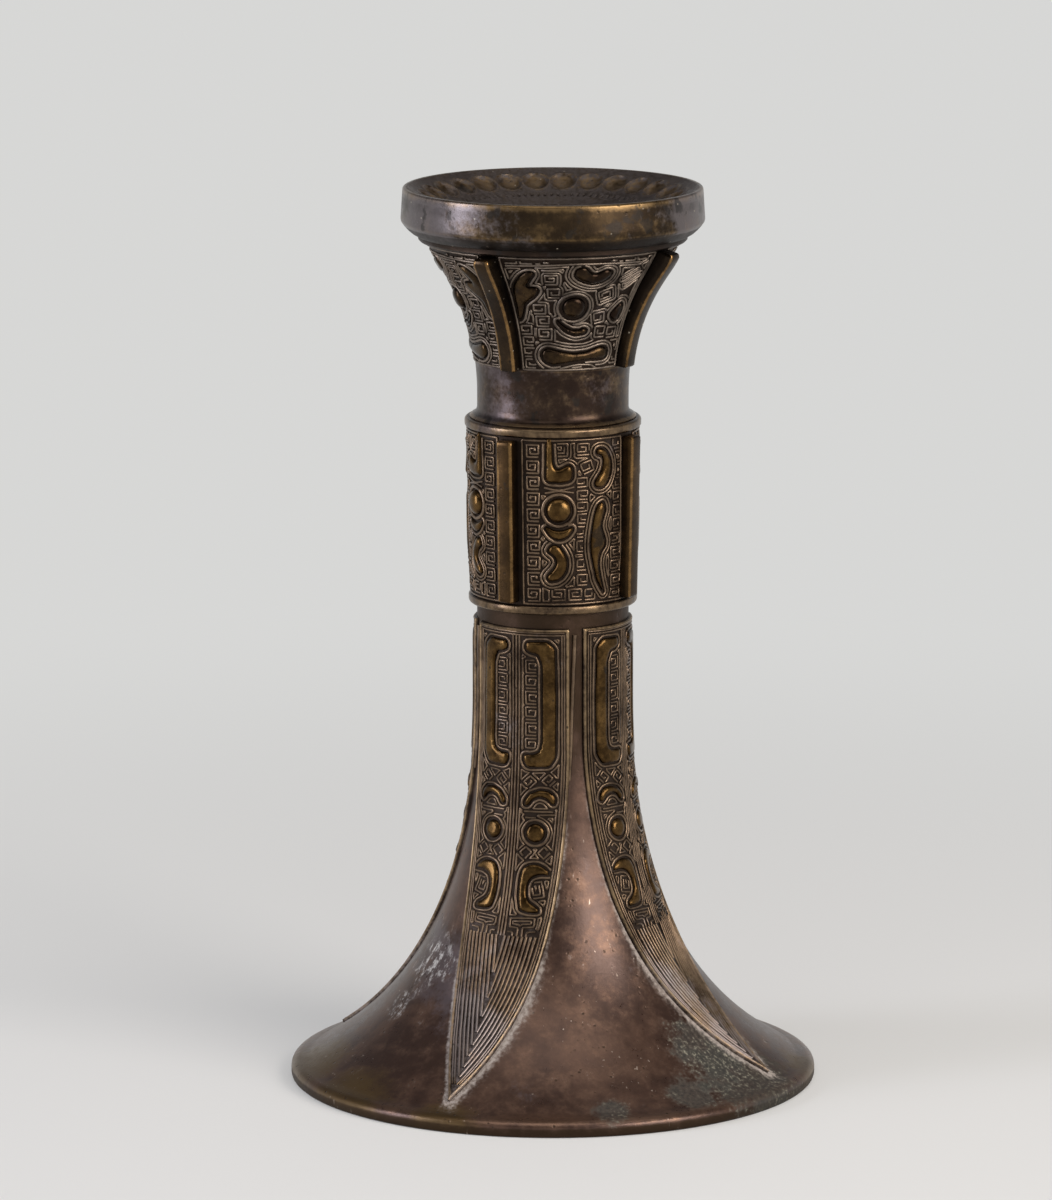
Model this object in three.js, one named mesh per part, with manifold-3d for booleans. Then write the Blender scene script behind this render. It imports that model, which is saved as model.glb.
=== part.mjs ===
// A bronze gu vase in five turned sections with eight let-in flanges, standing on its wide trumpet mouth.
// Millimetres, +Z up. The origin is the centre of the mouth's rim, on the surface that the vase stands on.
import * as THREE from 'three';
import { mergeVertices } from 'three/addons/utils/BufferGeometryUtils.js';
import Module from 'manifold-3d';

const wasm = await Module();
wasm.setup();

// Heights of the sections that show, from the rim that the vase stands on upwards
const trumpetHeight = 134.5;
const bandHeight = 51.8;
const collarHeight = 15.7;
const footReliefHeight = 33.3;
const coveHeight = 1.7;
const ringHeight = 13.0;

// Trumpet
const rimRadius = 73.3;
const rimThickness = 3.0;
const rimRounding = 0.6;
const waistRadius = 21.0;
const trumpetWall = 2.8;
const flareHeight = 107;
const flareNeckPull = 37.9;
const flareRimPull = 50.9;
const flareRimAngle = 26.5;

// Waist band
const bandTopRadius = 24.4;
const bandBottomRadius = 23.3;
const bandRimHeight = 2.3;
const bandGroundDepth = 0.8;
const bandEdgeRounding = 0.9;
const socketDepth = 9;
const boreRadius = 18.2;

// Foot: collar, flare and the register that the ring sits on
const collarRadius = 20.9;
const footRadius = 34.6;
const footNeckPull = 27;
const footRimPull = 4.3;
const footRimAngle = 80;
const footFlareStart = 9.5;
const collarFilletWidth = 2.1;
const collarFilletEdge = 0.5;
const collarFilletHeight = 1.8;
const footWall = 3.4;
const shoulderRadius = 37.0;
const spigotRadius = 34.0;
const spigotHeight = 2.4;

// Thick foot ring, with a dish that slopes in from its top edge
const ringRadius = 41.8;
const ringDraft = 0.5;
const ringTopFlat = 0.8;
const ringTopRounding = 0.5;
const ringChamferWidth = 3.9;
const ringChamferHeight = 3.8;
const ringChamferBelly = 0.4;
const ringBoreRadius = 24.5;
const ringSegments = 56;
const dishAngle = 28.6;

// Dimples in the dish
const dimpleCount = 28;
const dimpleCircleRadius = 34.1;
const dimpleWidth = 7.2;
const dimpleDepth = 1.1;
const dimpleSides = 7;
const dimpleLevels = [0, 0.55, 1.12];

// Floor plate between the foot and the vessel
const floorThickness = 2.0;

// Flanges
const flangeCount = 4;
const flangeWidth = 4.8;
const bandFlangeHeight = 45;
const bandFlangeRise = 3.2;
const footFlangeRise = 3.2;
const footFlangeFlare = 1.6;
const footFlangeSteps = 5;
const flangeSeat = 1.1;
const flangeEdge = 0.5;

// Hanging blades on the trumpet
const bladeCount = 4;
const bladeTurn = 3;
const bladeLean = 2;
const bladeTopGap = 4.1;
const bladeTipHeight = 6.6;
const bladeHalfAngle = 40;
const bladeTaperHeight = 90;
const bladeTaperPower = 1.6;
const bladeFieldRise = 0.6;
const bladeBorderRise = 1.1;
const bladeBorderWidth = 1.1;
const bladeBorderCrest = 0.6;
const bladeTipBorder = 0.6;
const bladeTipHalfWidth = 0.25;
const bladeSteps = 9;
const bladeStepPower = 1.35;

// Raised motifs
const motifRise = 0.9;
const motifDraft = 0.5;
const motifHalfWidth = 1.4;
const motifCornerReach = 0.6;
const strokeSteps = 4;
const discSides = 8;
const waistEyeRadius = 3.1;
const footEyeRadius = 3.4;
const bladeEyeRadius = 2.5;

// Fits and facets
const clearance = 0.3;
const embed = 0.6;
const turnSegments = 36;
const curveSteps = 9;
const footCurveSteps = 7;
const curveSamples = 200;
const weldReach = 1e-4;

// Heights and radii that follow
const bandFloor = trumpetHeight;
const bandTop = bandFloor + bandHeight;
const reliefFloor = bandTop + collarHeight;
const reliefTop = reliefFloor + footReliefHeight;
const shoulderTop = reliefTop + coveHeight;
const ringTop = shoulderTop + ringHeight;
const socketRadius = Math.max(waistRadius, collarRadius) + clearance;
const trumpetEnd = bandFloor + socketDepth;
const footEnd = bandTop - socketDepth;
const spigotTop = shoulderTop + spigotHeight;
const floorSeat = footEnd - floorThickness;
const bandFlangeFloor = bandFloor + (bandHeight - bandFlangeHeight) / 2;
const bladeTopHeight = bandFloor - bladeTopGap;
const radians = THREE.MathUtils.degToRad;
const full = 2 * Math.PI;
const quarter = full / flangeCount;

// The masks' noses lie on the flanges at the front and the back.
const noseAzimuth = -Math.PI / 2;

const bronze = { roughness: 0.42, metalness: 1 };
const finishes = {
  brown: new THREE.MeshStandardMaterial({ color: 0x4a3226, ...bronze }),
  golden: new THREE.MeshStandardMaterial({ color: 0x6b4c22, ...bronze }),
};

// A closed mesh as a solid that can be joined and cut.
function solidOf(geometry) {
  const plain = new THREE.BufferGeometry();
  const source = geometry.index ? geometry.toNonIndexed() : geometry;
  plain.setAttribute('position', source.getAttribute('position'));
  const merged = mergeVertices(plain, weldReach);
  return new wasm.Manifold(
    new wasm.Mesh({
      numProp: 3,
      vertProperties: new Float32Array(merged.getAttribute('position').array),
      triVerts: new Uint32Array(merged.index.array),
    }),
  );
}

// A solid back as a three.js geometry.
function geometryOf(solid) {
  const mesh = solid.getMesh();
  const geometry = new THREE.BufferGeometry();
  geometry.setAttribute('position', new THREE.BufferAttribute(new Float32Array(mesh.vertProperties), 3));
  geometry.setIndex(new THREE.BufferAttribute(new Uint32Array(mesh.triVerts), 1));
  geometry.computeVertexNormals();
  return geometry;
}

// Turns a closed section, given as [radius, height] points, about the vertical axis.
function turned(section, segments = turnSegments) {
  const ring = [...section, section[0]].map(([r, z]) => new THREE.Vector2(r, z));
  if (THREE.ShapeUtils.area(ring) < 0) ring.reverse();
  const geometry = new THREE.LatheGeometry(ring, segments);
  geometry.rotateX(Math.PI / 2);
  return geometry;
}

// A flare's side in the [radius, height] plane: it leaves its neck straight and reaches its end at an angle.
function flareCurve(start, startPull, end, endPull, endAngle, rising) {
  const way = rising ? 1 : -1;
  return new THREE.CubicBezierCurve(
    new THREE.Vector2(...start),
    new THREE.Vector2(start[0], start[1] + way * startPull),
    new THREE.Vector2(
      end[0] - endPull * Math.cos(radians(endAngle)),
      end[1] - way * endPull * Math.sin(radians(endAngle)),
    ),
    new THREE.Vector2(...end),
  );
}

const trumpetCurve = flareCurve(
  [waistRadius, rimThickness + flareHeight],
  flareNeckPull,
  [rimRadius - rimRounding, rimThickness],
  flareRimPull,
  flareRimAngle,
  false,
);
const footCurve = flareCurve(
  [collarRadius, reliefFloor - footFlareStart],
  footNeckPull,
  [footRadius, reliefTop],
  footRimPull,
  footRimAngle,
  true,
);

// The radius and outward normal of a flare at a height, read off its curve.
function surfaceOf(curve, plainRadius) {
  const samples = curve.getPoints(curveSamples);
  const rising = samples.at(-1).y > samples[0].y;
  return (height) => {
    const beyond = rising ? height <= samples[0].y : height >= samples[0].y;
    if (beyond) return { radius: plainRadius, out: 1, up: 0 };
    let k = 1;
    while (k < samples.length - 1 && (rising ? samples[k].y < height : samples[k].y > height)) k++;
    const a = samples[k - 1];
    const b = samples[k];
    const share = THREE.MathUtils.clamp((height - a.y) / (b.y - a.y), 0, 1);
    const length = Math.hypot(b.x - a.x, b.y - a.y);
    const turn = rising ? 1 : -1;
    return {
      radius: THREE.MathUtils.lerp(a.x, b.x, share),
      out: (turn * (b.y - a.y)) / length,
      up: (turn * -(b.x - a.x)) / length,
    };
  };
}

const trumpetSurface = surfaceOf(trumpetCurve, waistRadius);
const footSurface = surfaceOf(footCurve, collarRadius);

// The band's ground is a slight cone between its two rims.
function bandSurface(height) {
  const share = (height - bandFloor) / bandHeight;
  const radius = THREE.MathUtils.lerp(bandBottomRadius, bandTopRadius, share) - bandGroundDepth;
  return { radius, out: 1, up: 0 };
}

// A surface lifted along its normal, so that motifs can stand on a raised field.
function lifted(surface, rise) {
  return (height) => {
    const at = surface(height);
    return { ...at, radius: at.radius + rise * at.out };
  };
}

// Puts a point of the flat pattern on a surface of revolution: arc, height and depth off the surface in mm.
function wrap(surface, azimuth, arc, height, depth) {
  const at = surface(height);
  const angle = azimuth + arc / at.radius;
  const radius = at.radius + depth * at.out;
  return [radius * Math.cos(angle), radius * Math.sin(angle), height + depth * at.up];
}

// A raised motif: its flat outline stands on the surface with sides that lean in to a smaller top.
function motif(outline, surface, azimuth, side, rise = motifRise) {
  const foot = outline.map(([x, y]) => new THREE.Vector2(side * x, y));
  if (THREE.ShapeUtils.area(foot) < 0) foot.reverse();
  const count = foot.length;
  const top = foot.map((p, k) => insetCorner(foot.at(k - 1), p, foot[(k + 1) % count], motifDraft));
  const lower = foot.map((p) => wrap(surface, azimuth, p.x, p.y, -embed));
  const upper = top.map((p) => wrap(surface, azimuth, p.x, p.y, rise));
  const index = [];
  for (let k = 0; k < count; k++) {
    const next = (k + 1) % count;
    index.push(k, next, next + count, k, next + count, k + count);
  }
  for (const [a, b, c] of THREE.ShapeUtils.triangulateShape(foot, [])) {
    index.push(c, b, a, a + count, b + count, c + count);
  }
  const geometry = new THREE.BufferGeometry();
  geometry.setAttribute('position', new THREE.Float32BufferAttribute([...lower, ...upper].flat(), 3));
  geometry.setIndex(index);
  return solidOf(geometry);
}

// A corner of a counter-clockwise outline moved inwards from both of its edges.
function insetCorner(before, corner, after, distance) {
  const a = corner.clone().sub(before).normalize();
  const b = after.clone().sub(corner).normalize();
  const inward = new THREE.Vector2(-a.y - b.y, a.x + b.x).normalize();
  const lean = Math.max(motifCornerReach, inward.x * -a.y + inward.y * a.x);
  return corner.clone().addScaledVector(inward, distance / lean);
}

// Places on a panel, given in per cent across and up, as arcs and heights in millimetres.
function placed(panel, places) {
  return places.map(([across, up]) => {
    const height = panel.floor + (up / 100) * panel.height;
    return [(across / 100) * panel.spread(height) * panel.surface(height).radius, height];
  });
}

// The outline of a round boss.
function disc(panel, place, radius) {
  const [[x, y]] = placed(panel, [place]);
  return Array.from({ length: discSides }, (_, k) => {
    const angle = (k / discSides) * full;
    return [x + radius * Math.cos(angle), y + radius * Math.sin(angle)];
  });
}

// The outline of a thick curved stroke: a smooth centre line, with its half width at each of its places
// as a share of the motifs' usual one.
function stroke(panel, places, widths) {
  const line = new THREE.SplineCurve(placed(panel, places).map((p) => new THREE.Vector2(...p)));
  const halves = new THREE.SplineCurve(widths.map((w, k) => new THREE.Vector2(k, w * motifHalfWidth)));
  const left = [];
  const right = [];
  const side = (t, way, along) => {
    const at = line.getPoint(t);
    const tangent = line.getTangent(t);
    const half = halves.getPoint(t).y;
    const ahead = way * half * along;
    const across = way * half * (1 - Math.abs(along));
    return [at.x + ahead * tangent.x - across * tangent.y, at.y + ahead * tangent.y + across * tangent.x];
  };
  const steps = Math.min(strokeSteps, places.length);
  for (let k = 0; k <= steps; k++) {
    left.push(side(k / steps, 1, 0));
    right.unshift(side(k / steps, -1, 0));
  }
  return [side(0, -1, 1), ...left, side(1, 1, 1), ...right];
}

// A band of relief repeats about each mask's nose, mirrored from one flange to the next.
function masks(list, panel) {
  const solids = [];
  for (let k = 0; k < flangeCount; k++) {
    const nose = k % 2 === 0 ? k : k + 1;
    const azimuth = nose * quarter + noseAzimuth;
    const side = k % 2 === 0 ? 1 : -1;
    for (const outline of list) solids.push(motif(outline, panel.surface, azimuth, side));
  }
  return solids;
}

// How far a blade's edge is from its tip's full taper, from 1 at the tip to 0 where the blade is widest.
function bladeTaper(height) {
  return THREE.MathUtils.clamp(1 - (height - bladeTipHeight) / bladeTaperHeight, 0, 1);
}

// The angle between a blade's centre line and its edge.
function bladeSpread(height) {
  return radians(bladeHalfAngle) * (1 - Math.pow(bladeTaper(height), bladeTaperPower));
}

// Panels of ornament. Across goes from a nose to the next flange, or from a blade's centre line to its edge.
const waistPanel = {
  surface: bandSurface,
  floor: bandFloor,
  height: bandHeight,
  spread: () => quarter,
};
const footPanel = {
  surface: footSurface,
  floor: reliefFloor,
  height: footReliefHeight,
  spread: () => quarter,
};
const bladePanel = {
  surface: lifted(trumpetSurface, bladeFieldRise),
  floor: bladeTipHeight,
  height: bladeTopHeight - bladeTipHeight,
  spread: bladeSpread,
};

// The waist mask, from its nose outwards: jaw, eye, cheek, horn, ear and body
const bandMotifs = [
  placed(waistPanel, [
    [28, 97], [33, 97], [34, 82], [37, 78], [43.5, 81], [47.5, 80], [49, 77], [48.5, 74], [46.5, 72],
    [31, 71.5], [28, 73],
  ]),
  disc(waistPanel, [38.5, 56.5], waistEyeRadius),
  stroke(waistPanel, [[29, 47], [39, 43], [48, 46.5]], [0.45, 0.95, 0.45]),
  stroke(waistPanel, [[32, 36], [39.5, 32.5], [41, 27], [38, 22.5], [32, 20.5]], [0.65, 1, 1.1, 1.1, 0.65]),
  stroke(waistPanel, [[69, 87], [75.5, 84.5], [77, 79], [75, 73.5], [69, 69.5]], [0.6, 0.9, 1, 1.1, 0.65]),
  placed(waistPanel, [
    [73.5, 60], [75.5, 56], [72, 47.5], [76.5, 39], [75.5, 35.5], [71, 30.5], [70, 25.5], [75.5, 10],
    [68.5, 18.5], [64, 32], [64, 43.5], [66.5, 54], [69, 58.5],
  ]),
];

// The foot mask: jaw, eye, brow, cheek, ear and body
const footMotifs = [
  placed(footPanel, [
    [21.5, 88], [23.5, 86], [17, 73], [24, 73], [25.5, 71], [23.5, 66], [14.5, 57.5], [13, 50.5], [10.5, 45],
    [9, 46], [8, 68], [11, 79], [18, 86.5],
  ]),
  disc(footPanel, [47.5, 55], footEyeRadius),
  stroke(footPanel, [[49, 85.5], [53, 82.5], [59, 80], [65, 85.5]], [1.2, 1.35, 1, 0.7]),
  stroke(footPanel, [[36.5, 44], [45.5, 33], [57, 34]], [0.45, 0.6, 0.45]),
  stroke(footPanel, [[79, 43], [80, 50], [83, 55.5]], [0.45, 0.8, 0.45]),
  stroke(footPanel, [[30.5, 12.5], [48, 11.5], [60.5, 12.5], [75, 15]], [1.4, 0.95, 0.8, 1.15]),
];

// Half of a blade, from its centre line outwards: bracket, brow, eye and hook
const bladeMotifs = [
  placed(bladePanel, [
    [17.5, 96.5], [23, 97], [59, 97.5], [73, 95.5], [74.5, 71], [63, 69], [21.5, 68.5], [15, 70],
    [17.5, 71.5], [37.5, 71.5], [49.5, 74.5], [49, 92], [41.5, 94.5], [20.5, 95],
  ]),
  stroke(bladePanel, [[23, 60.5], [47.5, 63], [73.5, 61]], [0.45, 0.7, 0.45]),
  disc(bladePanel, [43.5, 54], bladeEyeRadius),
  stroke(bladePanel, [[73, 45.5], [44.5, 46], [30, 43], [37, 38.5], [64, 37]], [0.45, 1, 0.75, 0.85, 0.45]),
];

// One hanging blade, lofted up the trumpet as a raised field with a border along both edges.
function blade(azimuth) {
  const stations = Array.from({ length: bladeSteps + 1 }, (_, k) => Math.pow(k / bladeSteps, bladeStepPower));
  const field = [-1, -0.5, 0, 0.5, 1];
  const rings = stations.map((share) => {
    const height = THREE.MathUtils.lerp(bladeTipHeight, bladeTopHeight, share);
    const half = Math.max(bladeSpread(height) * trumpetSurface(height).radius, bladeTipHalfWidth);
    const centre = azimuth + radians(bladeLean) * bladeTaper(height);
    const border = Math.min(bladeBorderWidth, half * bladeTipBorder);
    const edges = [[half, bladeBorderRise], [half - border * bladeBorderCrest, bladeBorderRise]];
    const arcs = [
      ...edges.map(([arc, depth]) => [-arc, depth]),
      ...field.map((f) => [f * (half - border), bladeFieldRise]),
      ...edges.reverse(),
    ];
    const outer = arcs.map(([arc, depth]) => wrap(trumpetSurface, centre, arc, height, depth));
    const inner = arcs.map(([arc]) => wrap(trumpetSurface, centre, arc, height, -embed));
    return [...outer, ...inner.reverse()];
  });
  return solidOf(loft(rings));
}

// A closed mesh through rings of points. The second half of each ring runs back under its first half.
function loft(rings) {
  const count = rings[0].length;
  const index = [];
  const quad = (a, b, c, d) => index.push(a, b, c, a, c, d);
  for (let s = 0; s < rings.length - 1; s++) {
    for (let k = 0; k < count; k++) {
      const a = s * count + k;
      const b = s * count + ((k + 1) % count);
      quad(a, b, b + count, a + count);
    }
  }
  const last = (rings.length - 1) * count;
  for (let k = 0; k < count / 2 - 1; k++) {
    const under = count - 1 - k;
    quad(k, under, under - 1, k + 1);
    quad(last + k, last + k + 1, last + under - 1, last + under);
  }
  const geometry = new THREE.BufferGeometry();
  geometry.setAttribute('position', new THREE.Float32BufferAttribute(rings.flat(2), 3));
  geometry.setIndex(index);
  return geometry;
}

// Inner points of a wall: points of a curve that runs down and outwards, each moved in and down by the wall.
function offsetInside(points, wall) {
  return points.map((p, k) => {
    const a = points[Math.max(k - 1, 0)];
    const b = points[Math.min(k + 1, points.length - 1)];
    const length = Math.hypot(b[0] - a[0], b[1] - a[1]);
    return [p[0] - (wall * (a[1] - b[1])) / length, p[1] - (wall * (b[0] - a[0])) / length];
  });
}

function trumpet() {
  const flare = trumpetCurve.getPoints(curveSteps).map((p) => [p.x, p.y]);
  const inside = offsetInside(flare, trumpetWall)
    .filter((_, k) => k % 2 === 1)
    .filter(([r, z]) => r > boreRadius && z > rimRounding);
  const rimInner = rimRadius - rimThickness - rimRounding;
  const section = [
    [boreRadius, trumpetEnd],
    [waistRadius, trumpetEnd],
    ...flare,
    [rimRadius, rimThickness - rimRounding],
    [rimRadius, rimRounding],
    [rimRadius - rimRounding, 0],
    [rimInner, 0],
    ...inside.reverse(),
    [boreRadius, inside.at(-1)[1] + trumpetWall],
  ];
  const bodies = [solidOf(turned(section))];
  for (let k = 0; k < bladeCount; k++) {
    const azimuth = noseAzimuth + radians(bladeTurn) + (k / bladeCount) * full;
    bodies.push(blade(azimuth));
    for (const outline of bladeMotifs) {
      for (const side of [1, -1]) bodies.push(motif(outline, bladePanel.surface, azimuth, side));
    }
  }
  return wasm.Manifold.union(bodies);
}

// The side view of a flange in the [radius, height] plane, or of its slot, which is larger by a gap.
function flangeSection(surface, { low, high, rise, flare, gap, steps }) {
  const step = (high - low + 2 * gap) / steps;
  const heights = Array.from({ length: steps + 1 }, (_, k) => low - gap + step * k);
  const outer = heights.map((z) => {
    const share = (z - low) / (high - low);
    return [surface(z).radius + rise + flare * share * share, z];
  });
  const inner = heights.map((z) => [surface(z).radius - flangeSeat - gap, z]).reverse();
  return [...outer, ...inner];
}

// A flange or its slot: the side view extruded across its width and turned to its azimuth.
function flange(section, width, azimuth, edge) {
  const shape = new THREE.Shape(section.map(([r, z]) => new THREE.Vector2(r, z)));
  const geometry = new THREE.ExtrudeGeometry(shape, {
    depth: width - 2 * edge,
    bevelEnabled: edge > 0,
    bevelThickness: edge,
    bevelSize: edge,
    bevelOffset: -edge,
    bevelSegments: 1,
    curveSegments: 1,
  });
  geometry.translate(0, 0, edge - width / 2);
  geometry.rotateX(Math.PI / 2);
  geometry.rotateZ(azimuth);
  return geometry;
}

function bandFlangeSection(gap) {
  const low = bandFlangeFloor;
  const high = low + bandFlangeHeight;
  return flangeSection(bandSurface, { low, high, rise: bandFlangeRise, flare: 0, gap, steps: 1 });
}

function footFlangeSection(gap) {
  const low = reliefFloor + clearance;
  const high = reliefTop - clearance;
  const steps = footFlangeSteps;
  return flangeSection(footSurface, { low, high, rise: footFlangeRise, flare: footFlangeFlare, gap, steps });
}

function slots(section) {
  return Array.from({ length: flangeCount }, (_, k) =>
    solidOf(flange(section, flangeWidth + 2 * clearance, k * quarter, 0)),
  );
}

function waistBand() {
  const lowGround = bandFloor + bandRimHeight;
  const highGround = bandTop - bandRimHeight;
  const section = [
    [socketRadius, bandFloor],
    [bandBottomRadius - bandEdgeRounding, bandFloor],
    [bandBottomRadius, bandFloor + bandEdgeRounding],
    [bandBottomRadius, lowGround - bandGroundDepth],
    [bandSurface(lowGround).radius, lowGround],
    [bandSurface(highGround).radius, highGround],
    [bandTopRadius, highGround + bandGroundDepth],
    [bandTopRadius, bandTop - bandEdgeRounding],
    [bandTopRadius - bandEdgeRounding, bandTop],
    [socketRadius, bandTop],
    [socketRadius, floorSeat],
    [boreRadius, floorSeat],
    [boreRadius, trumpetEnd],
    [socketRadius, trumpetEnd],
  ];
  const body = wasm.Manifold.union([solidOf(turned(section)), ...masks(bandMotifs, waistPanel)]);
  return body.subtract(wasm.Manifold.union(slots(bandFlangeSection(clearance))));
}

// The foot's wall follows the flare outside and keeps clear of the bore inside.
function foot() {
  const flare = footCurve.getPoints(footCurveSteps).map((p) => [p.x, p.y]);
  const inside = offsetInside([...flare].reverse(), footWall).filter(([r]) => r > boreRadius);
  const filletFloor = bandTop + clearance;
  const section = [
    [boreRadius, footEnd],
    [collarRadius, footEnd],
    [collarRadius, filletFloor],
    [collarRadius + collarFilletWidth, filletFloor],
    [collarRadius + collarFilletWidth, filletFloor + collarFilletEdge],
    [collarRadius, filletFloor + collarFilletHeight],
    ...flare,
    [shoulderRadius, shoulderTop],
    [spigotRadius, shoulderTop],
    [spigotRadius, spigotTop],
    [inside[0][0], spigotTop],
    ...inside,
    [boreRadius, inside.at(-1)[1] - footWall],
  ];
  const body = wasm.Manifold.union([solidOf(turned(section)), ...masks(footMotifs, footPanel)]);
  return body.subtract(wasm.Manifold.union(slots(footFlangeSection(clearance))));
}

// The ring's top slopes in from a narrow flat edge.
function dishHeight(radius) {
  const flatEnd = ringRadius - ringTopRounding - ringTopFlat;
  return ringTop - (flatEnd - radius) * Math.tan(radians(dishAngle));
}

// A shallow round hollow in the dish, cut by a cap of a ball that stands off the dish along its normal.
function dimple(azimuth) {
  const half = dimpleWidth / 2;
  const ball = (half * half + dimpleDepth * dimpleDepth) / (2 * dimpleDepth);
  const lift = ball - dimpleDepth;
  const levels = dimpleLevels.map((share) => Math.asin((share * half) / ball));
  const section = levels.map((angle) => [ball * Math.sin(angle), -ball * Math.cos(angle)]);
  const cap = turned([...section, [0, section.at(-1)[1]]], dimpleSides);
  const tilt = radians(dishAngle);
  cap.rotateZ(Math.PI / dimpleSides);
  cap.rotateY(-tilt);
  cap.translate(
    dimpleCircleRadius - lift * Math.sin(tilt),
    0,
    dishHeight(dimpleCircleRadius) + lift * Math.cos(tilt),
  );
  cap.rotateZ(azimuth);
  return solidOf(cap);
}

function footRing() {
  const low = shoulderTop + clearance;
  const under = ringRadius - ringDraft;
  const section = [
    [ringBoreRadius, spigotTop + clearance],
    [spigotRadius + clearance, spigotTop + clearance],
    [spigotRadius + clearance, low],
    [under - ringChamferWidth, low],
    [under - ringChamferWidth * ringChamferBelly, low + ringChamferHeight * ringChamferBelly],
    [under, low + ringChamferHeight],
    [ringRadius, ringTop - ringTopRounding],
    [ringRadius - ringTopRounding, ringTop],
    [ringRadius - ringTopRounding - ringTopFlat, ringTop],
    [ringBoreRadius, dishHeight(ringBoreRadius)],
  ];
  const spacing = full / dimpleCount;
  const dimples = Array.from({ length: dimpleCount }, (_, k) => dimple(k * spacing + noseAzimuth));
  return solidOf(turned(section, ringSegments)).subtract(wasm.Manifold.union(dimples));
}

function floorPlate() {
  const radius = socketRadius - clearance;
  return solidOf(
    turned([
      [0, floorSeat],
      [radius, floorSeat],
      [radius, footEnd],
      [0, footEnd],
    ]),
  );
}

function piece(name, geometry, finish) {
  const mesh = new THREE.Mesh(geometry, finish);
  mesh.name = name;
  return mesh;
}

const vase = new THREE.Group();
vase.name = 'gu_vase';
vase.add(
  piece('trumpet', geometryOf(trumpet()), finishes.brown),
  piece('waist_band', geometryOf(waistBand()), finishes.golden),
  piece('foot_flare', geometryOf(foot()), finishes.brown),
  piece('foot_ring', geometryOf(footRing()), finishes.golden),
  piece('floor_plate', geometryOf(floorPlate()), finishes.brown),
);
for (let k = 0; k < flangeCount; k++) {
  const azimuth = k * quarter;
  for (const [place, section] of [['waist', bandFlangeSection(0)], ['foot', footFlangeSection(0)]]) {
    const shape = flange(section, flangeWidth, azimuth, flangeEdge);
    vase.add(piece(`${place}_flange_${k + 1}`, shape, finishes.golden));
  }
}

export default vase;
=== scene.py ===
"""Looks of the bronze gu vase, which stands on its wide mouth.

Sizes are in millimetres, and heights go up from the mouth's rim, as in the CAD part.
The ornament of each wall is drawn flat first: across is the way round the vase and up
is the way along the wall. The drawing is at full size at the wall's reference radius,
and it is stretched evenly elsewhere, so that a round boss stays round on the wall.
"""

import logging
from collections.abc import Iterable, Sequence
from dataclasses import dataclass, field, replace
from enum import Enum
from math import ceil, cos, hypot, pi, radians, sin, tan

import bmesh
import bpy
import numpy as np
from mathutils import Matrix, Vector, kdtree
from mathutils.geometry import delaunay_2d_cdt

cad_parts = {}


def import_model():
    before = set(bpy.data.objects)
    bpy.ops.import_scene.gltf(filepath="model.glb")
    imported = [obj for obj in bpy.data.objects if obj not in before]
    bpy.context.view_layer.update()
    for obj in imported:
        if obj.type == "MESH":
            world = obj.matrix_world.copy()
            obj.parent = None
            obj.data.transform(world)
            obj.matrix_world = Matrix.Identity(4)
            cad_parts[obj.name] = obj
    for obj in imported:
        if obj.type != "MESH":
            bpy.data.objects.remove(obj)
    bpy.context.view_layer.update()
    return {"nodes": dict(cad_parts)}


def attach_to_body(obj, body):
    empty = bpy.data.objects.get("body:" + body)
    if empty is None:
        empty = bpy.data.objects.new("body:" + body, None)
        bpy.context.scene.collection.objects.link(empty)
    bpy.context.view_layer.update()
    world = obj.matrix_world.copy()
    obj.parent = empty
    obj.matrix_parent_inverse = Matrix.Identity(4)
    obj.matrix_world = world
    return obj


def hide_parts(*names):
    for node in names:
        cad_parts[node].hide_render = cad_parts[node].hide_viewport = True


log = logging.getLogger("gu_vase")

MM = 0.001
QUARTER = pi / 2
NOSE_AZIMUTHS = (-QUARTER, QUARTER)
FLANGE_AZIMUTHS = tuple(QUARTER * k for k in (-1, 0, 1, 2))
SIDES = (1, -1)
SMOOTH_ANGLE = radians(38)

Array = np.ndarray
Points = Sequence[tuple[float, float]]
Colour = tuple[float, float, float]


# Shader maths


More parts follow.
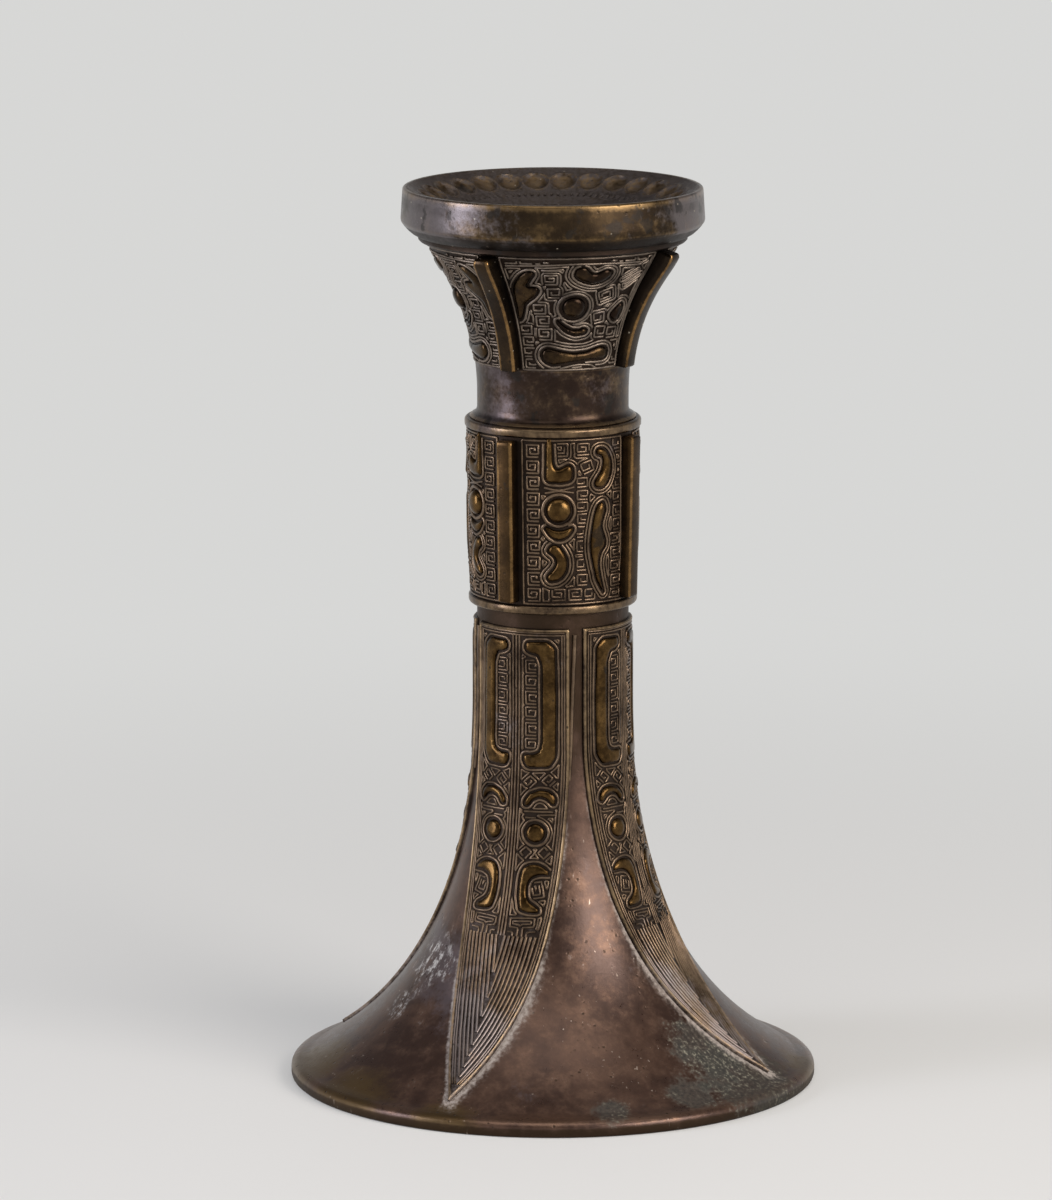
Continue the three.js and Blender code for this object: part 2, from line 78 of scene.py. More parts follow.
class Signal:
    """A shader socket that takes part in Python sums.

    Args:
        tree: The node tree that the sums are added to.
        socket: The output that this signal stands for.
    """

    def __init__(self, tree: bpy.types.NodeTree, socket: bpy.types.NodeSocket) -> None:
        """Keeps the tree and the socket."""
        self.tree = tree
        self.socket = socket

    def _math(self, operation: str, first: object, second: object = 0.0) -> "Signal":
        """Adds one Math node.

        Args:
            operation: The node's operation.
            first: The first signal or number.
            second: The second signal or number.

        Returns:
            The node's result.
        """
        made = self.tree.nodes.new("ShaderNodeMath")
        made.operation = operation
        for socket, value in zip(made.inputs, (first, second)):
            if isinstance(value, Signal):
                self.tree.links.new(value.socket, socket)
            else:
                socket.default_value = float(value)
        return Signal(self.tree, made.outputs[0])

    def __add__(self, other: object) -> "Signal":
        """Adds."""
        return self._math("ADD", self, other)

    __radd__ = __add__

    def __mul__(self, other: object) -> "Signal":
        """Multiplies."""
        return self._math("MULTIPLY", self, other)

    __rmul__ = __mul__

    def __sub__(self, other: object) -> "Signal":
        """Takes other away from this."""
        return self._math("SUBTRACT", self, other)

    def __rsub__(self, other: object) -> "Signal":
        """Takes this away from other."""
        return self._math("SUBTRACT", other, self)

    def __truediv__(self, other: object) -> "Signal":
        """Divides this by other."""
        return self._math("DIVIDE", self, other)

    def most(self, other: object) -> "Signal":
        """Gives the larger of the two."""
        return self._math("MAXIMUM", self, other)

    def least(self, other: object) -> "Signal":
        """Gives the smaller of the two."""
        return self._math("MINIMUM", self, other)

    def held(self) -> "Signal":
        """Keeps the value between 0 and 1."""
        return self.most(0.0).least(1.0)

    def between(self, low: float, high: float) -> "Signal":
        """Rises from 0 at low to 1 at high, with soft ends.

        Args:
            low: The value that gives 0.
            high: The value that gives 1.

        Returns:
            The soft step.
        """
        share = ((self - low) / (high - low)).held()
        return share * share * (3.0 - 2.0 * share)


class Palette:
    """Adds nodes to one tree.

    Args:
        tree: The tree, which is emptied first.
    """

    def __init__(self, tree: bpy.types.NodeTree) -> None:
        """Empties the tree."""
        self.tree = tree
        tree.nodes.clear()

    def node(
        self, kind: str, settings: dict[str, object] | None = None, **inputs: object
    ) -> bpy.types.Node:
        """Adds a node, with its settings before its sockets.

        Args:
            kind: The node's type.
            settings: Values of the node's own properties.
            **inputs: Values or signals of its sockets, by name with _ for a space.

        Returns:
            The node.
        """
        made = self.tree.nodes.new(kind)
        for name, value in (settings or {}).items():
            setattr(made, name, value)
        for name, value in inputs.items():
            socket = made.inputs[name.replace("_", " ")]
            if isinstance(value, Signal):
                self.tree.links.new(value.socket, socket)
            else:
                socket.default_value = value
        return made

    def out(self, node: bpy.types.Node, name: str | int = 0) -> Signal:
        """Gives one output of a node as a signal."""
        return Signal(self.tree, node.outputs[name])

    def attribute(self, name: str) -> Signal:
        """Reads one of the piece's own values."""
        return self.out(self.node("ShaderNodeAttribute", {"attribute_name": name}), "Fac")

    def blend(self, first: Signal | Colour, second: Signal | Colour, share: Signal) -> Signal:
        """Mixes two colours.

        Args:
            first: The colour at share 0.
            second: The colour at share 1.
            share: The share of the second colour.

        Returns:
            The mixed colour.
        """
        made = self.tree.nodes.new("ShaderNodeMix")
        made.data_type = "RGBA"
        sockets = {s.identifier: s for s in made.inputs}
        wanted = (("Factor_Float", share), ("A_Color", first), ("B_Color", second))
        for name, value in wanted:
            if isinstance(value, Signal):
                self.tree.links.new(value.socket, sockets[name])
            else:
                sockets[name].default_value = (*value, 1.0)
        outputs = {s.identifier: s for s in made.outputs}
        return Signal(self.tree, outputs["Result_Color"])

    def near(self, place: Signal, spot: Colour, radius: float) -> Signal:
        """Rises from 0 at a radius round a spot to 1 at the spot.

        Args:
            place: The coordinates.
            spot: The spot in metres.
            radius: The radius in metres.

        Returns:
            The mask.
        """
        away = self.node("ShaderNodeVectorMath", {"operation": "DISTANCE"}, Vector=place)
        away.inputs[1].default_value = spot
        return (1.0 - self.out(away, "Value") / radius).held()


@dataclass(frozen=True)
class Patch:
    """A place on the vase with its own mark: a stain, a rubbed place, a painted sheen or painted
    glints.

    Attributes:
        azimuth: Direction of the place, in degrees from the first nose.
        height: Height of the place.
        radius: Distance of the place from the axis.
        reach: How far the mark goes.
    """

    azimuth: float
    height: float
    radius: float
    reach: float

    def spot(self) -> Colour:
        """Gives the place in metres."""
        turn = radians(self.azimuth) - QUARTER
        return (
            self.radius * cos(turn) * MM,
            self.radius * sin(turn) * MM,
            self.height * MM,
        )


@dataclass(frozen=True)
class BronzeFinish:
    """Cast bronze under an old brown patina, worn through where hands reach.

    Attributes:
        name: The material's name.
        body: Main colour of the patina.
        second: Colour that clouds the patina.
        metal: Colour where the patina is worn.
        haze_and_sheen: Colour of the thin grey film, also laid as painted sheen where the film is
            thickened.
        hollow: Dark colour laid where the wear value is low, as at the feet of bosses and on the
            panels' ground.
        worn: Share of worn metal over the whole piece, from 0 to 1.
        hazed: Share of grey film over the whole piece, from 0 to 1.
        rough: Mean roughness.
        shine: Metallic share of the worn metal.
        dull: Metallic share of the patina.
        grain: Height of the fine casting grain, in metres.
        pitted: Share of small dark pits.
        spotted: Share of dark blue-grey spots.
        specked: Share of tiny pale specks.
        scratched: Strength of fine pale scratches.
        green: Places with grey-green corrosion.
        crust_and_glints: Places with small pale glints, which are painted highlights.
        film_and_sheen_places: Places under a thicker grey film, which also paints the pale sheen of
            a side lamp there.
        rubbed: Places rubbed to a golden olive.
        crusted: Colour of the crust that the piece's own values call for.
    """

    name: str
    body: Colour
    second: Colour
    metal: Colour
    haze_and_sheen: Colour
    hollow: Colour = (0.014, 0.01, 0.008)
    worn: float = 0.0
    hazed: float = 0.3
    rough: float = 0.34
    shine: float = 0.92
    dull: float = 0.88
    grain: float = 0.00006
    pitted: float = 0.3
    spotted: float = 0.0
    specked: float = 0.0
    scratched: float = 0.0
    green: tuple[Patch, ...] = ()
    crust_and_glints: tuple[Patch, ...] = ()
    film_and_sheen_places: tuple[Patch, ...] = ()
    rubbed: tuple[Patch, ...] = ()
    crusted: Colour = (0.34, 0.295, 0.262)

    def material(self) -> bpy.types.Material:
        """Makes the material, or gives the one made before.

        Returns:
            The material.
        """
        known = bpy.data.materials.get(self.name)
        if known is not None:
            return known
        material = bpy.data.materials.new(self.name)
        material.use_nodes = True
        coat = Coat(self, material.node_tree)
        coat.patina()
        if self.spotted:
            coat.spots()
        if self.specked:
            coat.specks()
        if self.scratched:
            coat.scratches()
        for patch in self.green:
            coat.stain(patch)
        coat.crust()
        for patch in self.crust_and_glints:
            coat.glints(patch)
        coat.close()
        return material

    def dress(self, piece: bpy.types.Object) -> None:
        """Puts the finish on a piece."""
        piece.data.materials.clear()
        piece.data.materials.append(self.material())


# Colours of the marks that a finish may have

OLIVE = (0.105, 0.064, 0.021)
BLUE_GREY = (0.02, 0.017, 0.015)
PALE_SPECK = (0.3, 0.26, 0.2)
PALE_SCRATCH = (0.4, 0.32, 0.26)
GREEN_GREY = (0.031, 0.029, 0.023)
GREEN_GRAIN = (0.009, 0.008, 0.007)
GREEN_BLOOM = (0.24, 0.225, 0.17)
# Painted highlight: the colour of the small pale glints.
PAINTED_GLINT = (0.7, 0.67, 0.64)


class Coat:
    """Paints one finish, layer by layer.

    Args:
        finish: The finish.
        tree: The tree of its material.
    """

    def __init__(self, finish: BronzeFinish, tree: bpy.types.NodeTree) -> None:
        """Makes the noises that the layers share."""
        self.finish = finish
        self.paint = Palette(tree)
        self.place = self.paint.out(self.paint.node("ShaderNodeTexCoord"), "Object")
        self.wear = self.paint.attribute("wear")
        self.mottle = self.noise(self.moved((0.31, 0.12, 0.07)), 165.0, 5.0, 0.62)
        self.fine = self.noise(self.moved((0.05, 0.41, 0.23)), 950.0, 3.0)
        self.film = self.noise(self.moved((0.77, 0.19, 0.55)), 58.0, 5.0, 0.6)
        self.blotch = self.mottle - 0.5
        self.dust = self.fine - 0.5
        self.colour: Signal | Colour = finish.body

    def moved(self, offset: Colour, stretch: float = 1.0, turn: float = 0.0) -> Signal:
        """Shifts, stretches and turns the place that a pattern reads.

        Args:
            offset: The shift in metres.
            stretch: Scale of the pattern along the vase's axis.
            turn: The turn about this axis, in radians.

        Returns:
            The new coordinates.
        """
        values = {"Location": offset, "Rotation": (0.0, 0.0, turn), "Scale": (1.0, 1.0, stretch)}
        return self.paint.out(self.paint.node("ShaderNodeMapping", Vector=self.place, **values))

    def noise(self, place: Signal, scale: float, detail: float, roughness: float = 0.55) -> Signal:
        """Adds an even noise.

        Args:
            place: Where the noise is read.
            scale: Features per metre.
            detail: Layers of finer noise.
            roughness: Share of the finer layers.

        Returns:
            The noise's value.
        """
        values = {"Scale": scale, "Detail": detail, "Roughness": roughness}
        return self.paint.out(self.paint.node("ShaderNodeTexNoise", Vector=place, **values), "Fac")

    def mask(self, patch: Patch) -> Signal:
        """Rises from 0 at a patch's edge to 1 at its middle."""
        return self.paint.near(self.place, patch.spot(), patch.reach * MM)

    def cover(self, colour: Colour, share: Signal) -> None:
        """Lays a colour over what is there."""
        self.colour = self.paint.blend(self.colour, colour, share)

    def patina(self) -> None:
        """Lays the patina with its worn metal, grey film and painted sheen, rubbed places,
        darkening where the wear value is low, and pits.
        """
        finish = self.finish
        cloud = self.noise(self.place, 34.0, 4.0)
        self.cover(finish.second, (cloud * 0.6 + self.mottle * 0.4).between(0.42, 0.6))
        bare = self.wear * 0.75 + finish.worn + self.blotch * 1.1 + self.dust * 0.4
        bare = bare.between(0.3, 0.95)
        self.cover(finish.metal, bare)
        # The film thickens at its listed places: partly grey film, partly the painted sheen of the
        # side lamps.
        thick = self.film + self.dust * 0.2
        for patch in finish.film_and_sheen_places:
            thick = thick + self.mask(patch) * 0.35
        haze_and_sheen_share = thick.between(0.66 - finish.hazed * 0.3, 0.84 - finish.hazed * 0.3)
        self.cover(finish.haze_and_sheen, haze_and_sheen_share * 0.6)
        for patch in finish.rubbed:
            self.cover(OLIVE, (self.mask(patch) + self.blotch * 0.8).between(0.15, 0.6) * 0.8)
        # Darker colour, and more metallic, where the wear value is low, as at boss feet and on the
        # panels' ground.
        hollow = (1.0 - self.wear - self.blotch * 0.5).between(0.62, 0.98)
        self.cover(finish.hollow, hollow * 0.9)
        where = self.moved((0.2, 0.5, 0.9))
        cells = self.paint.node("ShaderNodeTexVoronoi", Vector=where, Scale=420.0)
        dot = 1.0 - self.paint.out(cells, "Distance").between(0.08, 0.24)
        pit = dot * self.mottle.between(0.62 - finish.pitted * 0.25, 0.7 - finish.pitted * 0.2)
        self.cover(finish.hollow, pit * 0.85)
        self.rough = finish.rough + self.blotch * 0.3 + self.dust * 0.2 + hollow * 0.2 - bare * 0.05
        metallic = finish.dull + bare * (finish.shine - finish.dull)
        self.metallic = metallic + hollow * (0.8 * (1.0 - finish.dull)) - haze_and_sheen_share * 0.15
        self.relief = self.fine * 0.6 + self.mottle * 0.8 - pit * 1.4

    def spots(self) -> None:
        """Adds dark blue-grey spots."""
        spotted = self.finish.spotted * 0.2
        blot = self.noise(self.moved((0.13, 0.66, 0.37)), 150.0, 3.0, 0.5) + self.dust * 0.12
        self.cover(BLUE_GREY, blot.between(0.72 - spotted, 0.78 - spotted) * 0.7)

    def specks(self) -> None:
        """Adds tiny pale specks."""
        specked = self.finish.specked * 0.05
        crumbs = self.paint.node("ShaderNodeTexVoronoi", Vector=self.place, Scale=900.0)
        parts = self.paint.node("ShaderNodeSeparateColor", Color=self.paint.out(crumbs, "Color"))
        rare = self.paint.out(parts, "Red").between(0.985 - specked, 0.99 - specked)
        speck = (1.0 - self.paint.out(crumbs, "Distance").between(0.12, 0.3)) * rare
        self.cover(PALE_SPECK, speck)
        self.metallic = self.metallic - speck * 0.8

    def scratches(self) -> None:
        """Adds fine pale scratches."""
        lean = self.moved((0.0, 0.0, 0.0), 0.16, 0.6)
        streak = self.noise(lean, 760.0, 2.0, 0.8).between(0.67, 0.74)
        streak = streak * self.noise(self.moved((0.4, 0.1, 0.3)), 40.0, 2.0).between(0.5, 0.62)
        self.cover(PALE_SCRATCH, streak * self.finish.scratched)
        self.relief = self.relief + streak * 0.4

    def stain(self, patch: Patch) -> None:
        """Adds a place with dark grey-green corrosion and its pale bloom."""
        mask = self.mask(patch)
        stain = (mask + self.blotch * 1.1 + self.dust * 0.5).between(0.15, 0.5)
        stain = stain * mask.between(0.0, 0.2)
        self.cover(GREEN_GREY, stain * (self.mottle + 0.25).least(1.0))
        self.cover(GREEN_GRAIN, stain * (1.0 - self.fine.between(0.3, 0.52)) * 0.6)
        bloom = self.fine.between(0.5, 0.8) * self.film.between(0.34, 0.62)
        self.cover(GREEN_BLOOM, stain * bloom)
        self.rough = self.rough + stain * 0.25
        self.metallic = self.metallic - stain * 0.5

    def crust(self) -> None:
        """Adds the crust that the piece's own values call for."""
        chalky = self.paint.attribute("crust_and_glints")
        crumbly = chalky + self.blotch * 1.2 + self.dust * 0.9
        crust = crumbly.between(0.1, 1.0) * chalky.between(0.0, 0.5)
        crust = crust * (0.55 + self.fine.between(0.36, 0.6) * 0.45)
        crust = crust * (0.75 + self.mottle * 0.5).least(1.0)
        self.cover(self.finish.crusted, crust)
        self.rough = self.rough + crust * 0.2
        self.metallic = self.metallic - crust * 0.5

    def glints(self, patch: Patch) -> None:
        """Paints small pale glints over a place, as painted highlights."""
        lean = self.moved((0.3, 0.2, 0.1), 0.3, 0.5)
        glint = self.noise(lean, 620.0, 4.0, 0.75).between(0.49, 0.64)
        glint = glint * (self.mask(patch) + self.blotch * 1.5).between(0.2, 0.7)
        self.cover(PAINTED_GLINT, glint * 0.8)

    def close(self) -> None:
        """Joins the layers to the material's output."""
        paint = self.paint
        height = {"Height": self.relief, "Distance": self.finish.grain, "Strength": 0.8}
        shader = paint.node(
            "ShaderNodeBsdfPrincipled",
            Base_Color=self.colour,
            Roughness=self.rough.most(0.2).least(0.95),
            Metallic=self.metallic.held(),
            Normal=paint.out(paint.node("ShaderNodeBump", **height)),
        )
        paint.node("ShaderNodeOutputMaterial", Surface=paint.out(shader))


BODY_FINISH = BronzeFinish(
    name="brown_bronze_body",
    body=(0.052, 0.028, 0.02),
    second=(0.09, 0.049, 0.033),
    metal=(0.19, 0.113, 0.077),
    haze_and_sheen=(0.1, 0.08, 0.085),
    hollow=(0.034, 0.021, 0.012),
    worn=0.05,
    hazed=0.15,
    dull=0.6,
    pitted=0.45,
    scratched=0.8,
    green=(
        Patch(87.0, 7.0, 65.0, 25.0),
        Patch(80.0, 15.0, 55.0, 17.0),
        Patch(44.0, 5.7, 68.5, 7.0),
        Patch(66.0, 7.0, 65.0, 10.0),
    ),
    # Painted highlights: small pale glints on the trumpet's left.
    crust_and_glints=(Patch(-33.0, 36.0, 37.0, 14.0), Patch(-38.0, 24.0, 46.0, 8.0)),
    # Painted sheen: thicker grey film on the trumpet's left, where the left lamp's sheen falls.
    film_and_sheen_places=(Patch(-24.0, 38.0, 35.0, 24.0),),
    rubbed=(
        Patch(-50.0, 3.0, 73.0, 26.0),
        Patch(-22.0, 1.0, 74.0, 22.0),
        Patch(6.0, 0.0, 75.0, 16.0),
        Patch(112.0, 2.0, 74.0, 16.0),
    ),
)
PLATE_FINISH = BronzeFinish(
    name="dark_brown_bronze_blades",
    body=(0.026, 0.017, 0.013),
    second=(0.045, 0.031, 0.023),
    metal=(0.29, 0.2, 0.11),
    hollow=(0.028, 0.02, 0.015),
    crusted=(0.2, 0.166, 0.158),
    haze_and_sheen=(0.1, 0.075, 0.065),
    hazed=0.1,
    rough=0.42,
)
SECTION_FINISH = BronzeFinish(
    name="brown_bronze_sections",
    body=(0.024, 0.014, 0.01),
    second=(0.044, 0.027, 0.018),
    metal=(0.21, 0.142, 0.08),
    haze_and_sheen=(0.12, 0.095, 0.1),
    hollow=(0.023, 0.016, 0.012),
    pitted=0.35,
    spotted=0.5,
    # Painted sheen: thicker grey film on the left of the collar and foot, where the left lamp's
    # sheen falls.
    film_and_sheen_places=(Patch(-15.0, 200.0, 28.0, 22.0), Patch(-40.0, 236.0, 34.0, 12.0)),
)
THREAD_FINISH = BronzeFinish(
    name="brown_bronze_threads",
    hollow=(0.028, 0.02, 0.014),
    body=(0.056, 0.036, 0.023),
    second=(0.095, 0.064, 0.043),
    metal=(0.205, 0.142, 0.092),
    haze_and_sheen=(0.23, 0.2, 0.2),
    hazed=0.2,
    rough=0.36,
    grain=0.00002,
    film_and_sheen_places=(Patch(2.0, 18.0, 52.0, 34.0), Patch(92.0, 18.0, 52.0, 34.0)),
)
FOOT_THREAD_FINISH = replace(
    THREAD_FINISH,
    name="rubbed_bronze_threads",
    body=(0.06, 0.046, 0.037),
    metal=(0.24, 0.194, 0.155),
    haze_and_sheen=(0.14, 0.12, 0.125),
    rough=0.46,
    film_and_sheen_places=(),
)
BOSS_FINISH = BronzeFinish(
    name="golden_bronze_bosses",
    body=(0.031, 0.0158, 0.0045),
    second=(0.055, 0.029, 0.009),
    metal=(0.155, 0.088, 0.029),
    haze_and_sheen=(0.1, 0.075, 0.055),
    worn=-0.22,
    hazed=0.1,
    rough=0.27,
    dull=0.94,
    grain=0.00003,
    spotted=0.35,
)
DARK_BOSS_FINISH = replace(
    BOSS_FINISH,
    name="dark_bronze_bosses",
    body=(0.014, 0.008, 0.005),
    second=(0.026, 0.016, 0.008),
    metal=(0.075, 0.045, 0.019),
)
FLANGE_FINISH = BronzeFinish(
    name="orange_brown_bronze_flanges",
    body=(0.034, 0.018, 0.006),
    second=(0.058, 0.031, 0.011),
    metal=(0.25, 0.142, 0.053),
    haze_and_sheen=(0.12, 0.09, 0.08),
    worn=-0.05,
    hazed=0.12,
    rough=0.28,
    grain=0.00003,
    spotted=0.35,
    pitted=0.4,
)
DARK_FLANGE_FINISH = replace(
    FLANGE_FINISH,
    name="dark_bronze_flanges",
    body=(0.019, 0.012, 0.007),
    second=(0.036, 0.022, 0.011),
    hazed=0.3,
    specked=0.5,
)
RING_FINISH = BronzeFinish(
    name="golden_brown_bronze_ring",
    body=(0.026, 0.016, 0.008),
    second=(0.048, 0.03, 0.014),
    metal=(0.19, 0.12, 0.053),
    haze_and_sheen=(0.165, 0.144, 0.15),
    hazed=0.35,
    pitted=0.45,
    spotted=0.65,
    specked=0.1,
    scratched=0.3,
    # Painted sheen: thicker grey film on the ring's left and right, where the side lamps' sheens
    # fall.
    film_and_sheen_places=(Patch(-28.0, 242.0, 41.0, 36.0), Patch(100.0, 244.0, 41.0, 26.0)),
    crusted=(0.046, 0.035, 0.031),
)


# Meshes


def placed(name: str, data: bpy.types.ID) -> bpy.types.Object:
    """Adds an object with its data to the scene."""
    made = bpy.data.objects.new(name, data)
    bpy.context.scene.collection.objects.link(made)
    return made


def attach(piece: bpy.types.Object, slot: str, *nodes: str) -> None:
    """Sets a piece on the vase and reports it.

    Args:
        piece: The piece.
        slot: The material slot of its finish; not used.
        *nodes: CAD nodes that it stands for.
    """
    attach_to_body(piece, "root")
    if nodes:
        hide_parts(*nodes)
    stood = ", ".join(nodes) or "no node"
    log.info("%s: %d faces, stands for %s", piece.name, len(piece.data.polygons), stood)


class MeshBuilder:
    """Collects closed shells in millimetres and makes one object of them."""

    def __init__(self) -> None:
        """Starts empty."""
        self.points: list[Array] = []
        self.extra: dict[str, Array] = {}
        self.wear: list[Array] = []
        self.faces: list[tuple[int, ...]] = []
        self.count = 0

    def add(
        self, points: Array, faces: Iterable[Sequence[int]], wear: Array | float
    ) -> None:
        """Adds a shell.

        Args:
            points: Its vertices.
            faces: Its faces, as positions among its vertices.
            wear: How worn each vertex is, from 0 in a hollow to 1.
        """
        first = self.count
        self.points.append(points)
        self.wear.append(np.broadcast_to(wear, (len(points),)))
        self.faces.extend(tuple(first + int(k) for k in face) for face in faces)
        self.count += len(points)

    def grid(self, rings: Array, wear: Array | float, closed: bool) -> None:
        """Adds rings of equal length, joined one to the next.

        Args:
            rings: The rings' points, as rings by points by 3.
            wear: How worn each point is.
            closed: Whether the last ring joins the first one; if not, both ends get a face.
        """
        number, around = rings.shape[:2]
        spans = number if closed else number - 1
        faces: list[Sequence[int]] = []
        for i in range(spans):
            here = i * around
            there = (i + 1) % number * around
            for k in range(around):
                after = (k + 1) % around
                faces.append((here + k, here + after, there + after, there + k))
        if not closed:
            faces.append(tuple(range(around))[::-1])
            faces.append(tuple((number - 1) * around + k for k in range(around)))
        values = np.broadcast_to(wear, (number, around)).reshape(-1)
        self.add(rings.reshape(-1, 3), faces, values)

    def cast(self, name: str, finish: BronzeFinish, slot: str, *nodes: str) -> None:
        """Makes the piece with its faces outwards, dresses it and sets it on the vase.

        Args:
            name: The piece's name.
            finish: Its finish.
            slot: The material slot of the finish; passed on, but not used.
            *nodes: CAD nodes that it stands for.
        """
        mesh = bpy.data.meshes.new(name)
        mesh.from_pydata((np.concatenate(self.points) * MM).tolist(), [], self.faces)
        shape = bmesh.new()
        shape.from_mesh(mesh)
        bmesh.ops.recalc_face_normals(shape, faces=shape.faces)
        shape.to_mesh(mesh)
        shape.free()
        for label, values in {"wear": np.concatenate(self.wear), **self.extra}.items():
            made = mesh.attributes.new(label, "FLOAT", "POINT")
            made.data.foreach_set("value", values.astype(np.float32))
        mesh.shade_smooth()
        mesh.set_sharp_from_angle(angle=SMOOTH_ANGLE)
        mesh.validate()
        piece = placed(name, mesh)
        finish.dress(piece)
        attach(piece, slot, *nodes)


def turned(section: Array, segments: int) -> Array:
    """Turns a closed section round the axis.

    Args:
        section: Radius and height of each point, in the first two columns.
        segments: Number of steps round the axis.

    Returns:
        Rings of points, one for each step.
    """
    angles = np.arange(segments) / segments * 2 * pi
    radius = section[None, :, 0]
    height = np.broadcast_to(section[None, :, 1], (segments, len(section)))
    return np.stack(
        (np.cos(angles)[:, None] * radius, np.sin(angles)[:, None] * radius, height), axis=-1
    )


def bezier(controls: Points, count: int) -> Array:
    """Samples a cubic curve.

    Args:
        controls: Its four control points.
        count: Number of samples.

    Returns:
        The samples.
    """
    a, b, c, d = (np.array(p, dtype=float) for p in controls)
    t = np.linspace(0.0, 1.0, count)[:, None]
    return a * (1 - t) ** 3 + 3 * b * t * (1 - t) ** 2 + 3 * c * t**2 * (1 - t) + d * t**3


# Flat drawing


@dataclass
class Wall:
    """A wall of revolution and its flat drawing.

    Attributes:
        heights: Heights of the wall's samples, rising.
        radii: Radius at each height.
        reference: Radius at which the drawing is at full size.
        climb: Place of each sample in the drawing.
        slope: How fast the radius grows with the height.
    """

    heights: Array
    radii: Array
    reference: float
    climb: Array = field(init=False)
    slope: Array = field(init=False)

    def __post_init__(self) -> None:
        """Measures the way along the wall."""
        steps = np.hypot(np.diff(self.heights), np.diff(self.radii))
        middle = (self.radii[1:] + self.radii[:-1]) / 2
        self.climb = np.concatenate(([0.0], np.cumsum(steps / middle * self.reference)))
        self.slope = np.gradient(self.radii, self.heights)

    def radius(self, height: Array) -> Array:
        """Gives the radius at a height."""
        return np.interp(height, self.heights, self.radii)

    def height(self, up: Array) -> Array:
        """Gives the height of a place in the drawing."""
        return np.interp(up, self.climb, self.heights)

    def scale(self, up: Array) -> Array:
        """Gives how many real millimetres one of the drawing's is."""
        return self.radius(self.height(up)) / self.reference

    def flat(self, points: Points | Array) -> Array:
        """Draws measured points.

        Args:
            points: Way round from the middle line and height of each point.

        Returns:
            Their places in the drawing.
        """
        measured = np.array(points, dtype=float)
        across = measured[:, 0] / self.radius(measured[:, 1]) * self.reference
        return np.column_stack((across, np.interp(measured[:, 1], self.heights, self.climb)))

    def bend(
        self, flat: Array, lift: Array | float, azimuth: Array | float
    ) -> Array:
        """Bends places of the drawing onto the wall.

        Args:
            flat: Places in the drawing.
            lift: How far each point stands off the wall.
            azimuth: Direction of the drawing's middle line.

        Returns:
            Points in the vase's frame.
        """
        height = self.height(flat[:, 1])
        tilt = np.interp(height, self.heights, self.slope)
        size = np.hypot(1.0, tilt)
        radius = self.radius(height) + lift / size
        angle = azimuth + flat[:, 0] / self.reference
        return np.column_stack(
            (radius * np.cos(angle), radius * np.sin(angle), height - lift * tilt / size)
        )


def smooth(points: Array, spans: int) -> Array:
    """Draws a soft open line through points.

    Args:
        points: The points, with any number of columns.
        spans: Number of steps between two of them.

    Returns:
        The line's points.
    """
    padded = np.vstack((2 * points[0] - points[1], points, 2 * points[-1] - points[-2]))
    t = np.linspace(0.0, 1.0, spans, endpoint=False)[:, None]
    parts = []
    for a, b, c, d in zip(padded, padded[1:], padded[2:], padded[3:]):
        square, cube = 2 * a - 5 * b + 4 * c - d, 3 * b - a - 3 * c + d
        parts.append(0.5 * (2 * b + (c - a) * t + square * t**2 + cube * t**3))
    return np.vstack((*parts, points[-1:]))


def softened(points: Array, cut: float) -> Array:
    """Rounds the corners of a closed outline.

    Args:
        points: The corners.
        cut: Longest piece cut from each edge at a corner.

    Returns:
        The rounded outline.
    """
    made = []
    for before, corner, after in zip(np.roll(points, 1, 0), points, np.roll(points, -1, 0)):
        back, ahead = before - corner, after - corner
        first = corner + back * min(0.42, cut / np.hypot(*back))
        last = corner + ahead * min(0.42, cut / np.hypot(*ahead))
        for t in (0.0, 0.33, 0.67, 1.0):
            made.append(first * (1 - t) ** 2 + corner * 2 * t * (1 - t) + last * t * t)
    return np.array(made)


def resampled(line: Array, step: float, closed: bool) -> Array:
    """Spaces a line's points evenly.

    Args:
        line: The line's points.
        step: Wanted distance between points.
        closed: Whether the last point joins the first one.

    Returns:
        The new points, without the first one again at the end.
    """
    whole = np.vstack((line, line[:1])) if closed else line
    way = np.concatenate(([0.0], np.cumsum(np.hypot(*np.diff(whole, axis=0).T))))
    count = max(3 if closed else 2, int(round(way[-1] / step)) + (0 if closed else 1))
    marks = np.linspace(0.0, way[-1], count, endpoint=not closed)
    return np.column_stack([np.interp(marks, way, whole[:, k]) for k in range(2)])


def thinned(line: Array, slack: float) -> Array:
    """Leaves out the points that a straight line can do without.

    Args:
        line: An open line.
        slack: Largest distance that a left out point may be off.

    Returns:
        The points that stay.
    """
    if len(line) < 3:
        return line
    along = line[-1] - line[0]
    length = float(np.hypot(*along))
    off = line - line[0]
    if length < 1e-6:
        away = np.hypot(off[:, 0], off[:, 1])
    else:
        away = np.abs(off[:, 0] * along[1] - off[:, 1] * along[0]) / length
    worst = int(np.argmax(away))
    if away[worst] < slack:
        return line[[0, -1]]
    return np.vstack((thinned(line[: worst + 1], slack)[:-1], thinned(line[worst:], slack)))


def inside(outline: Array, points: Array) -> Array:
    """Tells which points are inside an outline.

    Args:
        outline: The closed outline.
        points: The points.

    Returns:
        True for each point inside.
    """
    odd = np.zeros(len(points), dtype=bool)
    x, y = points[:, 0], points[:, 1]
    for (ax, ay), (bx, by) in zip(outline, np.roll(outline, -1, 0)):
        if ay == by:
            continue
        crosses = (ay > y) != (by > y)
        odd ^= crosses & (x < (bx - ax) * (y - ay) / (by - ay) + ax)
    return odd


